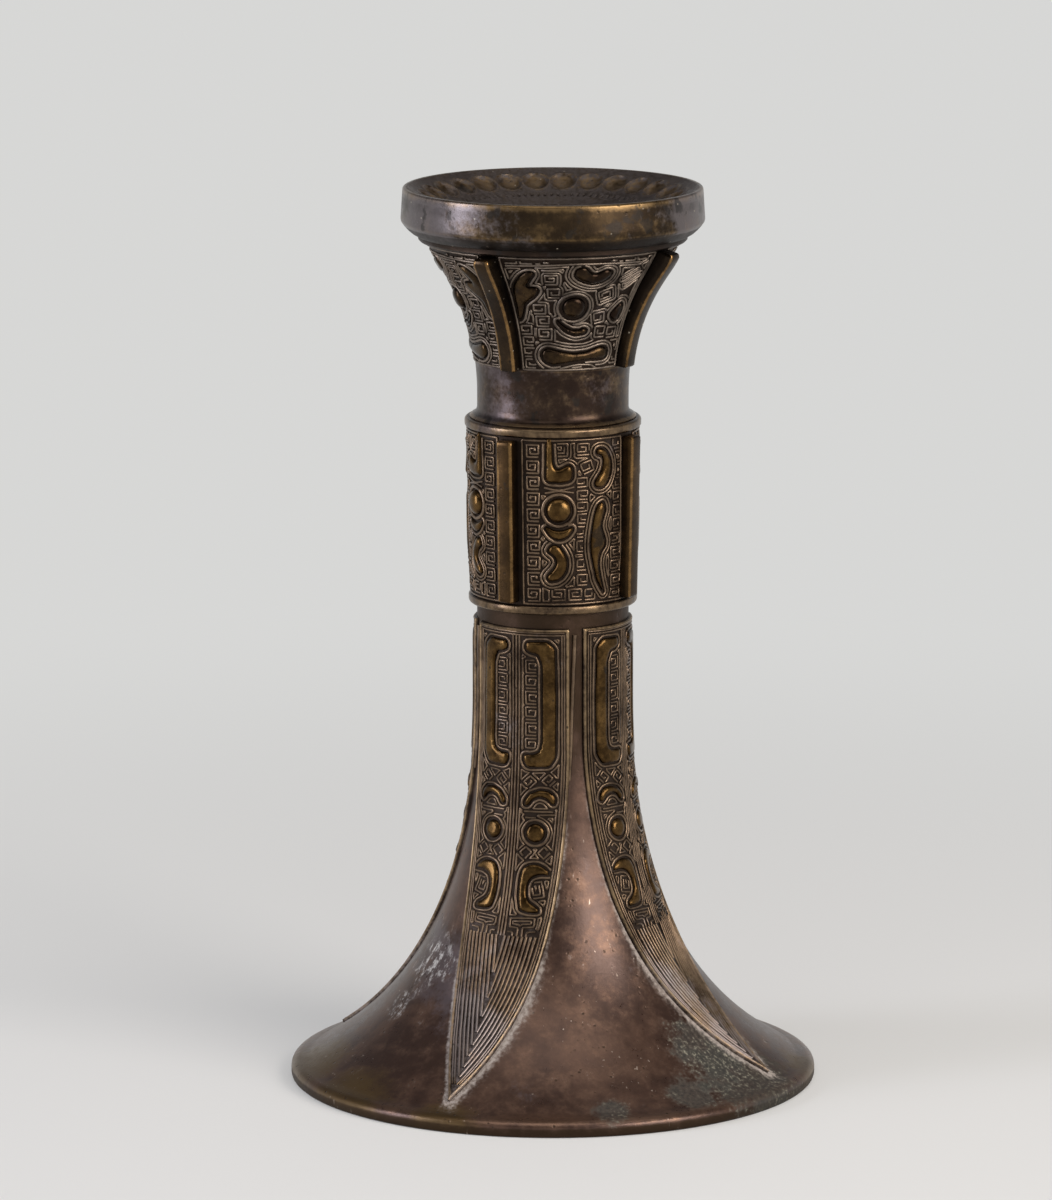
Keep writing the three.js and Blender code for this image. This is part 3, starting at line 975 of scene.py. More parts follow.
def distances(outline: Array, points: Array) -> Array:
    """Measures how far points are from a closed outline.

    Args:
        outline: The outline's corners.
        points: The points.

    Returns:
        The distance of each point.
    """
    best = np.full(len(points), np.inf)
    for a, b in zip(outline, np.roll(outline, -1, 0)):
        (x, y), (wide, tall) = (points - a).T, b - a
        share = ((x * wide + y * tall) / max(wide * wide + tall * tall, 1e-12)).clip(0.0, 1.0)
        best = np.minimum(best, np.hypot(x - share * wide, y - share * tall))
    return best


class Kind(Enum):
    """How the points of a boss are read."""

    OUTLINE = "closed outline"
    SPINE = "middle line with half widths"
    ROUND = "centre, with the radius as half width"


@dataclass(frozen=True)
class Boss:
    """A raised ornament.

    Attributes:
        points: Way round from the middle line and height of each point.
        kind: How its points are read.
        halves: Half width at each point.
        rise: How far it stands out.
        rounding: Width of its rounded edge.
        rings: Distances of the threads that run round it.
        thick: Thickness of the first of these beside a plain thread's.
    """

    points: Points
    kind: Kind = Kind.OUTLINE
    halves: tuple[float, ...] = ()
    rise: float = 0.95
    rounding: float = 1.5
    rings: tuple[float, ...] = (0.75,)
    thick: float = 1.25

    def outline(self, wall: Wall) -> Array:
        """Draws the boss.

        Args:
            wall: The wall that carries it.

        Returns:
            Its closed outline in the drawing.
        """
        flat = wall.flat(self.points)
        scale = float(wall.scale(flat[:, 1].mean()))
        if self.kind is Kind.ROUND:
            turn = np.linspace(0.0, 2 * pi, 40, endpoint=False)
            return flat[0] + self.halves[0] / scale * np.column_stack((np.cos(turn), np.sin(turn)))
        if self.kind is Kind.OUTLINE:
            return softened(flat, 0.8 / scale)
        halves = np.array(self.halves) / scale
        line = smooth(np.column_stack((flat, halves)), 8)
        middle, half = line[:, :2], np.maximum(line[:, 2], 0.12 / scale)
        along = np.gradient(middle, axis=0)
        along /= np.hypot(*along.T)[:, None]
        normal = np.column_stack((-along[:, 1], along[:, 0]))
        left, right = middle + normal * half[:, None], middle - normal * half[:, None]
        turn = np.linspace(0.0, pi, 7)[1:-1, None]
        last = middle[-1] + half[-1] * (normal[-1] * np.cos(turn) + along[-1] * np.sin(turn))
        first = middle[0] + half[0] * (-normal[0] * np.cos(turn) - along[0] * np.sin(turn))
        return np.vstack((left, last, right[::-1], first))


def contours(
    values: Array, level: float, corner: Array, step: float
) -> list[tuple[Array, bool]]:
    """Traces the lines on which a gridded value passes a level.

    Args:
        values: The values, across by up.
        level: The level.
        corner: Place of the first value.
        step: Distance between values.

    Returns:
        Each line with whether it is closed.
    """
    above = values > level
    code = above[:-1, :-1] + 2 * above[1:, :-1] + 4 * above[1:, 1:] + 8 * above[:-1, 1:]
    joined: dict[tuple[int, int, int], list[tuple[int, int, int]]] = {}
    pairs = {1: "ab", 2: "bc", 3: "ac", 4: "cd", 6: "bd", 7: "ad", 5: "adbc", 10: "abcd"}
    pairs |= {14: "ab", 13: "bc", 12: "ac", 11: "cd", 9: "bd", 8: "ad"}
    for i, j in zip(*np.nonzero((code > 0) & (code < 15))):
        i, j = int(i), int(j)
        edges = {"a": (1, i, j), "b": (0, i, j), "c": (1, i + 1, j), "d": (0, i, j + 1)}
        path = pairs[int(code[i, j])]
        for first, last in zip(path[::2], path[1::2]):
            joined.setdefault(edges[first], []).append(edges[last])
            joined.setdefault(edges[last], []).append(edges[first])

    def place(edge: tuple[int, int, int]) -> Array:
        """Finds where the level crosses an edge."""
        upright, i, j = edge
        k, m = (i, j + 1) if upright else (i + 1, j)
        low, high = values[i, j], values[k, m]
        share = (level - low) / (high - low)
        return corner + step * (np.array((i, j)) * (1 - share) + np.array((k, m)) * share)

    lines = []
    ends = [e for e, others in joined.items() if len(others) == 1]
    for start in ends + list(joined):
        if not joined.get(start):
            continue
        chain = [start]
        while joined.get(chain[-1]):
            after = joined[chain[-1]].pop()
            joined[after].remove(chain[-1])
            chain.append(after)
        closed = chain[0] == chain[-1]
        chain = chain[:-1] if closed else chain
        if len(chain) > 2:
            lines.append((np.array([place(e) for e in chain]), closed))
    return lines


@dataclass(frozen=True)
class Spiral:
    """A squared spiral of thread.

    Attributes:
        arc: Way round from the middle line to its centre.
        height: Height of its centre.
        wide: Its width.
        tall: Its height on the wall.
        lean: Its turn in degrees.
        flip: Whether it winds the other way.
    """

    arc: float
    height: float
    wide: float = 3.4
    tall: float = 3.5
    lean: float = 0.0
    flip: bool = False

    def line(self, wall: Wall, pitch: float) -> Array:
        """Draws the spiral.

        Args:
            wall: The wall that carries it.
            pitch: Distance from one turn to the next.

        Returns:
            The thread's points in the drawing.
        """
        low = np.array((-self.wide / 2, -self.tall / 2))
        high = -low
        corners = [low.copy()]
        side = 0
        while min(high - low) > 0.45 * pitch:
            x = high[0] if side in (0, 1) else low[0]
            y = high[1] if side in (1, 2) else low[1]
            if side == 3:
                low[1] += pitch
                y = low[1]
            corners.append(np.array((x, y)))
            if side == 1:
                high[0] -= pitch
            elif side == 2:
                high[1] -= pitch
            elif side == 3:
                low[0] += pitch
            side = (side + 1) % 4
        path = np.array(corners)
        if self.flip:
            path[:, 0] *= -1
        lean = radians(self.lean)
        path = path @ np.array(((cos(lean), sin(lean)), (-sin(lean), cos(lean))))
        centre = wall.flat([(self.arc, self.height)])[0]
        return centre + path / float(wall.scale(centre[1]))


def column(
    arc: float, heights: Sequence[float], wide: float, tall: float, flip: bool = False
) -> list[Spiral]:
    """Lists spirals one above the other.

    Args:
        arc: Way round of the column.
        heights: Heights of their centres.
        wide: Their width.
        tall: Their height.
        flip: Whether the first winds the other way.

    Returns:
        The spirals, every second one mirrored.
    """
    return [Spiral(arc, z, wide, tall, 0.0, flip ^ bool(k % 2)) for k, z in enumerate(heights)]


@dataclass(frozen=True)
class Thread:
    """A raised thread.

    Attributes:
        line: Its points.
        closed: Whether its last point joins the first one.
        thick: Its thickness beside a plain thread's.
    """

    line: Array
    closed: bool = False
    thick: float = 1.0


@dataclass
class Panel:
    """The flat drawing of one panel of ornament.

    Attributes:
        wall: The wall that carries the panel.
        bosses: The raised ornaments.
        border: Outline of the panel, as measured points.
        frame: Whether a thread follows the border.
        lines: Threads given one by one, as measured points.
        spirals: Squared spirals.
        pitch: Distance from one thread to the next.
        grid_step: Fineness of the drawing's grid.
        threads: The threads, once drawn.
        outlines: The bosses' outlines in the drawing.
    """

    wall: Wall
    bosses: tuple[Boss, ...]
    border: Points
    frame: bool
    lines: tuple[Points, ...]
    spirals: tuple[Spiral, ...]
    pitch: float = 0.93
    grid_step: float = 0.24
    threads: list[Thread] = field(default_factory=list)
    outlines: list[Array] = field(default_factory=list)

    def draw(self) -> None:
        """Draws the outlines, the threads round them, the spirals, and loops in the rest."""
        self.outlines = [self._even(boss.outline(self.wall), 0.45) for boss in self.bosses]
        edge = self._even(self.wall.flat(self.border), 0.5)
        low, high = edge.min(0), edge.max(0)
        counts = np.ceil((high - low) / self.grid_step).astype(int) + 1
        marks = [low[k] + self.grid_step * np.arange(counts[k]) for k in (0, 1)]
        across, up = np.meshgrid(*marks, indexing="ij")
        spots = np.column_stack((across.ravel(), up.ravel()))
        within = inside(edge, spots)
        scale = self.wall.scale(spots[:, 1])
        covered = np.zeros(len(spots), dtype=bool)
        for outline in self.outlines:
            covered |= inside(outline, spots)
        blocks = [edge, *self.outlines]
        if self.frame:
            self.threads.append(Thread(edge, True))
        for line in self.lines:
            flat = self.wall.flat(line)
            soft = smooth(flat, 6) if len(flat) > 2 else self._even(flat, 0.5, False)
            self.threads.append(Thread(soft))
        for number, (boss, outline) in enumerate(zip(self.bosses, self.outlines)):
            away = distances(outline, spots) * scale
            away[inside(outline, spots)] = 0.0
            others = [o for k, o in enumerate(self.outlines) if k != number]
            for step, ring in enumerate(boss.rings):
                made = contours(away.reshape(counts), ring, low, self.grid_step)
                thick = boss.thick if step == 0 else 1.0
                self._keep(made, others + ([] if self.frame else [edge]), 0.5, edge, thick)
        for spiral in self.spirals:
            line = spiral.line(self.wall, self.pitch)
            self._keep([(line, False)], self.outlines, 0.55, edge)
        for _ in range(2):
            away = self._away(spots, blocks + [thread.line for thread in self.threads]) * scale
            away[covered | ~within] = 0.0
            made = contours(away.reshape(counts), self.pitch * 0.92, low, self.grid_step)
            self.threads.extend(Thread(*found) for found in made if self._length(found[0]) > 2.0)
        log.info("panel drawn with %d bosses and %d threads", len(self.bosses), len(self.threads))

    def _even(self, line: Array, step: float, closed: bool = True) -> Array:
        """Spaces points by a real distance."""
        return resampled(line, step / float(self.wall.scale(line[:, 1].mean())), closed)

    def _length(self, line: Array) -> float:
        """Measures a line's real length."""
        return float(np.hypot(*np.diff(line, axis=0).T).sum() * self.wall.scale(line[:, 1].mean()))

    def _away(self, spots: Array, lines: list[Array]) -> Array:
        """Measures how far places are from lines, in the drawing.

        Args:
            spots: The places.
            lines: The lines.

        Returns:
            The distance of each place.
        """
        marks = np.vstack([resampled(line, 0.16, False) for line in lines])
        tree = kdtree.KDTree(len(marks))
        for k, (x, y) in enumerate(marks.tolist()):
            tree.insert((x, y, 0.0), k)
        tree.balance()
        return np.array([tree.find((x, y, 0.0))[2] for x, y in spots.tolist()])

    def _keep(
        self,
        made: Iterable[tuple[Array, bool]],
        others: list[Array],
        room: float,
        edge: Array,
        thick: float = 1.0,
    ) -> None:
        """Keeps the parts of new threads that have room.

        Args:
            made: The new threads' lines, each with whether it is closed.
            others: Lines that the threads keep away from, besides the threads already there.
            room: The smallest distance to these.
            edge: The panel's border, which holds the threads in.
            thick: Thickness of the threads.
        """
        blocks = others + [thread.line for thread in self.threads]
        for line, closed in made:
            points = self._even(line, 0.35, closed)
            good = inside(edge, points)
            if blocks:
                good &= self._away(points, blocks) * self.wall.scale(points[:, 1]) > room
            if good.all():
                self.threads.append(Thread(points, closed, thick))
                continue
            if closed:
                turn = int(np.argmin(good))
                points, good = np.roll(points, -turn, 0), np.roll(good, -turn)
            cuts = np.flatnonzero(np.diff(good.astype(int)))
            for part, fine in zip(np.split(points, cuts + 1), np.split(good, cuts + 1)):
                if fine[0] and len(part) > 3:
                    self.threads.append(Thread(part, False, thick))


def boss_shell(
    wall: Wall, outline: Array, boss: Boss
) -> tuple[Array, Array, list, Array]:
    """Domes a boss over its outline.

    Args:
        wall: The wall that carries it.
        outline: Its outline in the drawing.
        boss: Its sizes.

    Returns:
        Places in the drawing, lifts, faces, and wear of its closed shell.
    """
    scale = float(wall.scale(outline[:, 1].mean()))
    step = 0.55 / scale
    low, high = outline.min(0), outline.max(0)
    rows = np.arange(low[1], high[1], step * 0.87)
    spots = []
    for k, y in enumerate(rows):
        shift = step / 2 if k % 2 else 0.0
        spots.extend((x + shift, y) for x in np.arange(low[0], high[0], step))
    along = np.roll(outline, -1, 0) - np.roll(outline, 1, 0)
    inward = np.column_stack((-along[:, 1], along[:, 0])) / np.hypot(*along.T)[:, None]
    if not inside(outline, outline[:1] + inward[:1] * 0.02 / scale)[0]:
        inward = -inward
    rim = outline + inward * 0.24 / scale
    rim = rim[inside(outline, rim) & (distances(outline, rim) * scale > 0.18)]
    inner = np.array(spots)
    inner = inner[inside(outline, inner)]
    inner = inner[distances(outline, inner) * scale > 0.45]
    flat = np.vstack((outline, rim, inner))
    around = len(outline)
    loop = [list(range(around))]
    top = delaunay_2d_cdt([Vector(p) for p in flat.tolist()], [], loop, 1, 1e-6)
    under = delaunay_2d_cdt([Vector(p) for p in outline.tolist()], [], loop, 1, 1e-6)
    flat = np.array([(p.x, p.y) for p in top[0]])
    depth = distances(outline, flat) * scale
    share = (depth / boss.rounding).clip(0.0, 1.0)
    height = boss.rise * np.sqrt(1.0 - (1.0 - share) ** 2)
    faces = [tuple(face) for face in top[2]]
    count = len(flat)
    faces += [tuple(count + k for k in face)[::-1] for face in under[2]]
    faces += [(k, (k + 1) % around, count + (k + 1) % around, count + k) for k in range(around)]
    places = np.vstack((flat, outline))
    lift = np.concatenate((height, np.full(around, -0.5)))
    wear = np.concatenate(((depth / 0.3).clip(0.0, 1.0), np.zeros(around)))
    return places, lift, faces, wear


# Threads


class ThreadTree:
    """A node group that sweeps a round thread along the edges it is given."""

    sides = 5

    def __init__(self) -> None:
        """Builds the group."""
        tree = bpy.data.node_groups.new("swept_thread", "GeometryNodeTree")
        self.tree = tree
        self.sockets: dict[str, str] = {}
        for label, kind in (
            ("Geometry", "NodeSocketGeometry"),
            ("Radius", "NodeSocketFloat"),
            ("Wobble", "NodeSocketFloat"),
            ("Finish", "NodeSocketMaterial"),
        ):
            made = tree.interface.new_socket(label, in_out="INPUT", socket_type=kind)
            self.sockets[label] = made.identifier
        tree.interface.new_socket("Geometry", in_out="OUTPUT", socket_type="NodeSocketGeometry")
        palette = Palette(tree)
        node, out = palette.node, palette.out
        given = node("NodeGroupInput")
        curve = node("GeometryNodeMeshToCurve", Mesh=out(given, "Geometry"))
        place = out(node("GeometryNodeInputPosition"))
        noise = out(node("ShaderNodeTexNoise", Vector=place, Scale=700.0, Detail=1.0), "Color")
        centred = node("ShaderNodeVectorMath", {"operation": "SUBTRACT"}, Vector=noise)
        centred.inputs[1].default_value = (0.5, 0.5, 0.5)
        wobble = {"Vector": out(centred), "Scale": out(given, "Wobble")}
        stray = node("ShaderNodeVectorMath", {"operation": "SCALE"}, **wobble)
        moved = node("GeometryNodeSetPosition", Geometry=out(curve), Offset=out(stray))
        thick = node("GeometryNodeInputNamedAttribute", {"data_type": "FLOAT"}, Name="thick")
        radius = out(given, "Radius")
        ring = node("GeometryNodeCurvePrimitiveCircle", Resolution=self.sides, Radius=radius)
        swept = node(
            "GeometryNodeCurveToMesh",
            Curve=out(moved),
            Profile_Curve=out(ring, "Curve"),
            Scale=out(thick, "Attribute"),
            Fill_Caps=True,
        )
        soft = node("GeometryNodeSetShadeSmooth", Geometry=out(swept))
        worn = node(
            "GeometryNodeStoreNamedAttribute",
            {"data_type": "FLOAT", "domain": "POINT"},
            Geometry=out(soft),
            Name="wear",
            Value=0.85,
        )
        real = node("GeometryNodeRealizeInstances", Geometry=out(worn))
        dressed = node("GeometryNodeSetMaterial", Geometry=out(real), Material=out(given, "Finish"))
        node("NodeGroupOutput", Geometry=out(dressed))

    def sweep(
        self, name: str, lines: list[Thread], radius: float, wobble: float, finish: BronzeFinish
    ) -> None:
        """Sweeps threads along lines in the vase's frame and sets them on the vase.

        Args:
            name: The piece's name.
            lines: The threads, in millimetres.
            radius: Radius of the thread.
            wobble: How far a thread may stray.
            finish: The threads' finish.
        """
        points, thick, edges, count = [], [], [], 0
        for thread in lines:
            size = len(thread.line)
            points.append(thread.line)
            thick += [thread.thick] * size
            edges += [(count + k, count + k + 1) for k in range(size - 1)]
            if thread.closed:
                edges.append((count + size - 1, count))
            count += size
        mesh = bpy.data.meshes.new(name + "_paths")
        mesh.from_pydata((np.concatenate(points) * MM).tolist(), edges, [])
        made = mesh.attributes.new("thick", "FLOAT", "POINT")
        made.data.foreach_set("value", thick)
        paths = placed(name + "_paths", mesh)
        modifier = paths.modifiers.new("threads", "NODES")
        modifier.node_group = self.tree
        for label, value in (
            ("Radius", radius * MM),
            ("Wobble", wobble * MM),
            ("Finish", finish.material()),
        ):
            modifier[self.sockets[label]] = value
        ready = paths.evaluated_get(bpy.context.evaluated_depsgraph_get())
        swept = bpy.data.meshes.new_from_object(ready)
        swept.name = name
        bpy.data.objects.remove(paths)
        attach(placed(name, swept), "bronze_relief")


# The vase


@dataclass
class Layout:
    """Heights and radii that the sections share, as in the CAD part."""

    band_floor: float = 134.5
    band_top: float = 186.3
    relief_floor: float = 202.0
    relief_top: float = 235.3
    shoulder_top: float = 237.0
    ring_top: float = 250.0
    waist_radius: float = 21.0
    collar_radius: float = 20.9
    neck_radius: float = 34.6
    bore_radius: float = 18.2
    band_bottom_radius: float = 23.3
    band_top_radius: float = 24.4
    ground_depth: float = 0.8
    socket_depth: float = 9.0
    lip: tuple[float, float] = (72.7, 3.0)
    lip_pull: float = 50.9
    lip_lean: float = radians(26.5)
    wall_top: float = 150.0
    flare_top: float = 110.0
    flare_pull: float = 37.9
    collar_bend: float = 192.5
    collar_pull: float = 219.5
    neck_pull: float = 4.3
    neck_lean: float = radians(80.0)

    def trumpet_wall(self) -> Wall:
        """Gives the outer wall of the trumpet."""
        controls = (
            (self.waist_radius, self.flare_top),
            (self.waist_radius, self.flare_top - self.flare_pull),
            (
                self.lip[0] - self.lip_pull * cos(self.lip_lean),
                self.lip[1] + self.lip_pull * sin(self.lip_lean),
            ),
            self.lip,
        )
        curve = bezier(controls, 240)[::-1]
        heights = np.concatenate((curve[:, 1], [self.wall_top]))
        radii = np.concatenate((curve[:, 0], [self.waist_radius]))
        return Wall(heights, radii, self.waist_radius)

    def band_wall(self) -> Wall:
        """Gives the ground of the waist band."""
        heights = np.array((self.band_floor, self.band_top))
        radii = np.array((self.band_bottom_radius, self.band_top_radius)) - self.ground_depth
        return Wall(heights, radii, float(radii.mean()))

    def foot_wall(self) -> Wall:
        """Gives the outer wall of the foot with its collar."""
        controls = (
            (self.collar_radius, self.collar_bend),
            (self.collar_radius, self.collar_pull),
            (
                self.neck_radius - self.neck_pull * cos(self.neck_lean),
                self.relief_top - self.neck_pull * sin(self.neck_lean),
            ),
            (self.neck_radius, self.relief_top),
        )
        curve = bezier(controls, 160)
        heights = np.concatenate(([self.band_top - self.socket_depth], curve[:, 1]))
        radii = np.concatenate(([self.collar_radius], curve[:, 0]))
        return Wall(heights, radii, self.collar_radius)


LIP_EDGE = (
    (71.0, 4.7, 0.8), (71.8, 4.4, 0.9), (72.5, 4.0, 0.8), (73.0, 3.45, 0.6), (73.22, 2.9, 0.35),
    (73.3, 2.3, 0.1), (73.3, 0.95, 0.0), (73.15, 0.42, 0.0), (72.8, 0.12, 0.0), (72.2, 0.0, 0.1),
    (71.2, 0.05, 0.1), (70.4, 0.35, 0.1), (69.2, 1.0, 0.2),
)


@dataclass
class TrumpetFlare:
    """The plain flaring vessel."""

    layout: Layout
    skin_low: float = 5.1
    inside_low: float = 1.4
    wall: float = 2.8
    top: float = 143.5
    crust_height: float = 46.0
    crust_fade: float = 16.0
    crust_reach: float = 3.6
    crust_rise: float = 6.0
    crust_left: float = 0.62
    crust_right: float = 0.5
    valley_azimuth: float = radians(-35.0)
    valley_half: float = radians(52.0)
    line_reach: float = 1.0
    line_top: float = 100.0
    line_fade: float = 30.0
    segments: int = 288

    def section(self) -> Array:
        """Draws the closed section.

        Returns:
            Radius, height and wear of its points.
        """
        outer = self.layout.trumpet_wall()
        foot = np.linspace(self.skin_low, 40.0, 60)
        heights = np.concatenate((foot, np.linspace(42.0, self.top, 50)))
        worn = np.interp(heights, (60.0, 110.0), (0.45, 0.08))
        skin = np.column_stack((outer.radius(heights), heights, worn))
        tilt = np.interp(heights, outer.heights, outer.slope)
        size = np.hypot(1.0, tilt)
        back = skin - self.wall * np.column_stack((1 / size, -tilt / size, np.zeros(len(size))))
        back = back[(back[:, 1] > self.inside_low) & (back[:, 1] < self.top)]
        back[:, 2] = 0.2
        return np.vstack((skin[::-1], LIP_EDGE, back, [(back[-1, 0], self.top, 0.2)]))

    def crust(self, points: Array) -> Array:
        """Tells how much chalky crust lies beside the blades' borders.

        Args:
            points: Points of the trumpet.

        Returns:
            The share of crust at each point.
        """
        blade = Blade()
        radius, height = np.hypot(points[:, 0], points[:, 1]), points[:, 2]
        way = np.arctan2(points[:, 1], points[:, 0])
        turn = (way - blade.centre(height) + QUARTER / 2) % QUARTER - QUARTER / 2
        valley = np.abs(way - self.valley_azimuth) < self.valley_half
        past = np.abs(turn) - blade.half(height).clip(0.0, QUARTER / 2)
        away = np.maximum(past * radius, (blade.tip - height) * 2.2)
        top = self.crust_height + np.where(valley & (turn < 0.0), self.crust_rise, 0.0)
        low = ((top - height) / self.crust_fade).clip(0.0, 1.0)
        share = np.where(turn > 0.0, self.crust_left, np.where(valley, self.crust_right, 0.0))
        wide = share * low * np.exp(-((away / self.crust_reach) ** 2))
        line = (0.5 + 0.6 * low) * np.exp(-((away / self.line_reach) ** 2))
        return wide + line * ((self.line_top - height) / self.line_fade).clip(0.0, 1.0)

    def build(self) -> None:
        """Builds and dresses the trumpet."""
        section = self.section()
        builder = MeshBuilder()
        skin = turned(section, self.segments)
        builder.grid(skin, section[:, 2], closed=True)
        builder.extra["crust_and_glints"] = self.crust(skin.reshape(-1, 3))
        builder.cast("trumpet_body", BODY_FINISH, "bronze_body", "trumpet")


@dataclass
class Blade:
    """Shape of one hanging blade."""

    top: float = 130.4
    tip: float = 6.6
    half_angle: float = radians(40.0)
    taper_height: float = 90.0
    taper_power: float = 1.6
    turn: float = radians(3.0)
    lean: float = radians(2.0)
    field_rise: float = 0.6
    ridge_rise: float = 1.1
    ridge_width: float = 1.15

    def taper(self, height: Array) -> Array:
        """Falls from 1 at the tip to 0 where the blade has its full width."""
        return (1.0 - (height - self.tip) / self.taper_height).clip(0.0, 1.0)

    def half(self, height: Array) -> Array:
        """Gives the half angle at a height."""
        return self.half_angle * (1.0 - self.taper(height) ** self.taper_power)

    def centre(self, height: Array) -> Array:
        """Gives the direction of the middle line, from the blade's flange."""
        return self.turn + self.lean * self.taper(height)

    def side_line(self, wall: Wall, inset: float, low: float, high: float) -> Array:
        """Draws a line beside the border.

        Args:
            wall: The trumpet's wall.
            inset: Distance from the border.
            low: Lowest height.
            high: Greatest height.

        Returns:
            The line's places in the drawing, where the blade is wide enough.
        """
        heights = np.linspace(low, high, 90)
        arc = self.half(heights) * wall.radius(heights) - inset
        keep = arc > 0.06
        return wall.flat(np.column_stack((arc[keep], heights[keep])))


BLADE_BOSSES = (
    Boss((
        (3.0, 126.8), (8.7, 127.0), (10.7, 124.9), (11.0, 111.0), (11.1, 94.6), (9.4, 91.8),
        (3.2, 91.6), (2.2, 93.3), (2.3, 95.3), (4.7, 95.2), (6.8, 96.1), (7.3, 98.7), (7.2, 120.2),
        (6.1, 123.3), (3.8, 123.7), (2.5, 124.6),
    ), rise=0.85, rounding=0.9),
    Boss((
        (2.8, 80.9), (3.0, 82.7), (4.5, 84.5), (7.0, 85.5), (9.6, 85.2), (11.2, 83.7), (11.5, 81.7),
        (10.5, 81.2), (9.2, 82.9), (7.1, 83.6), (5.1, 82.8), (4.1, 81.0),
    ), rounding=1.0),
    Boss(((6.4, 73.6),), Kind.ROUND, (2.65,), rise=1.0, rings=(1.0,), thick=1.4),
    Boss((
        (4.2, 52.8), (3.4, 56.0), (3.2, 59.4), (3.4, 62.3), (4.0, 64.0), (5.4, 65.0), (7.5, 65.2),
        (9.5, 64.5), (10.9, 63.3), (11.3, 62.1), (10.0, 62.3), (8.5, 62.3), (6.8, 61.7),
        (5.8, 60.5), (5.5, 58.8), (5.6, 56.8), (6.4, 55.2), (7.8, 54.3), (9.3, 53.5), (9.8, 52.2),
        (8.0, 52.1), (5.9, 52.2),
    ), rise=0.85, rounding=0.95),
)
BLADE_SPIRALS = (
    *column(4.6, (97.9, 102.3, 106.7, 111.1, 115.5, 119.9), 3.6, 3.5),
    Spiral(4.3, 87.6, 2.6, 2.4, 45.0),
    Spiral(9.3, 88.0, 2.6, 2.4, 45.0, True),
    Spiral(4.2, 68.2, 2.4, 2.2, 45.0),
    Spiral(9.2, 68.2, 2.4, 2.2, 45.0, True),
    Spiral(8.6, 58.2, 2.9, 4.4, 10.0),
)
BLADE_LINES = (
    ((3.0, 79.4), (10.8, 79.4)),
    ((3.4, 77.7), (6.3, 77.7)),
    (
        (6.0, 45.9), (6.0, 48.0), (6.5, 48.3), (8.6, 48.4), (9.0, 48.8), (8.9, 50.3), (8.4, 50.7),
        (2.6, 50.5), (2.2, 50.1), (2.2, 48.5), (2.6, 48.2), (4.2, 48.1), (4.6, 47.8), (4.6, 45.9),
    ),
    ((9.6, 47.2), (7.8, 47.1), (7.3, 46.8), (7.2, 45.9)),
    ((1.9, 46.9), (2.9, 46.9), (3.3, 46.6), (3.3, 45.9)),
)


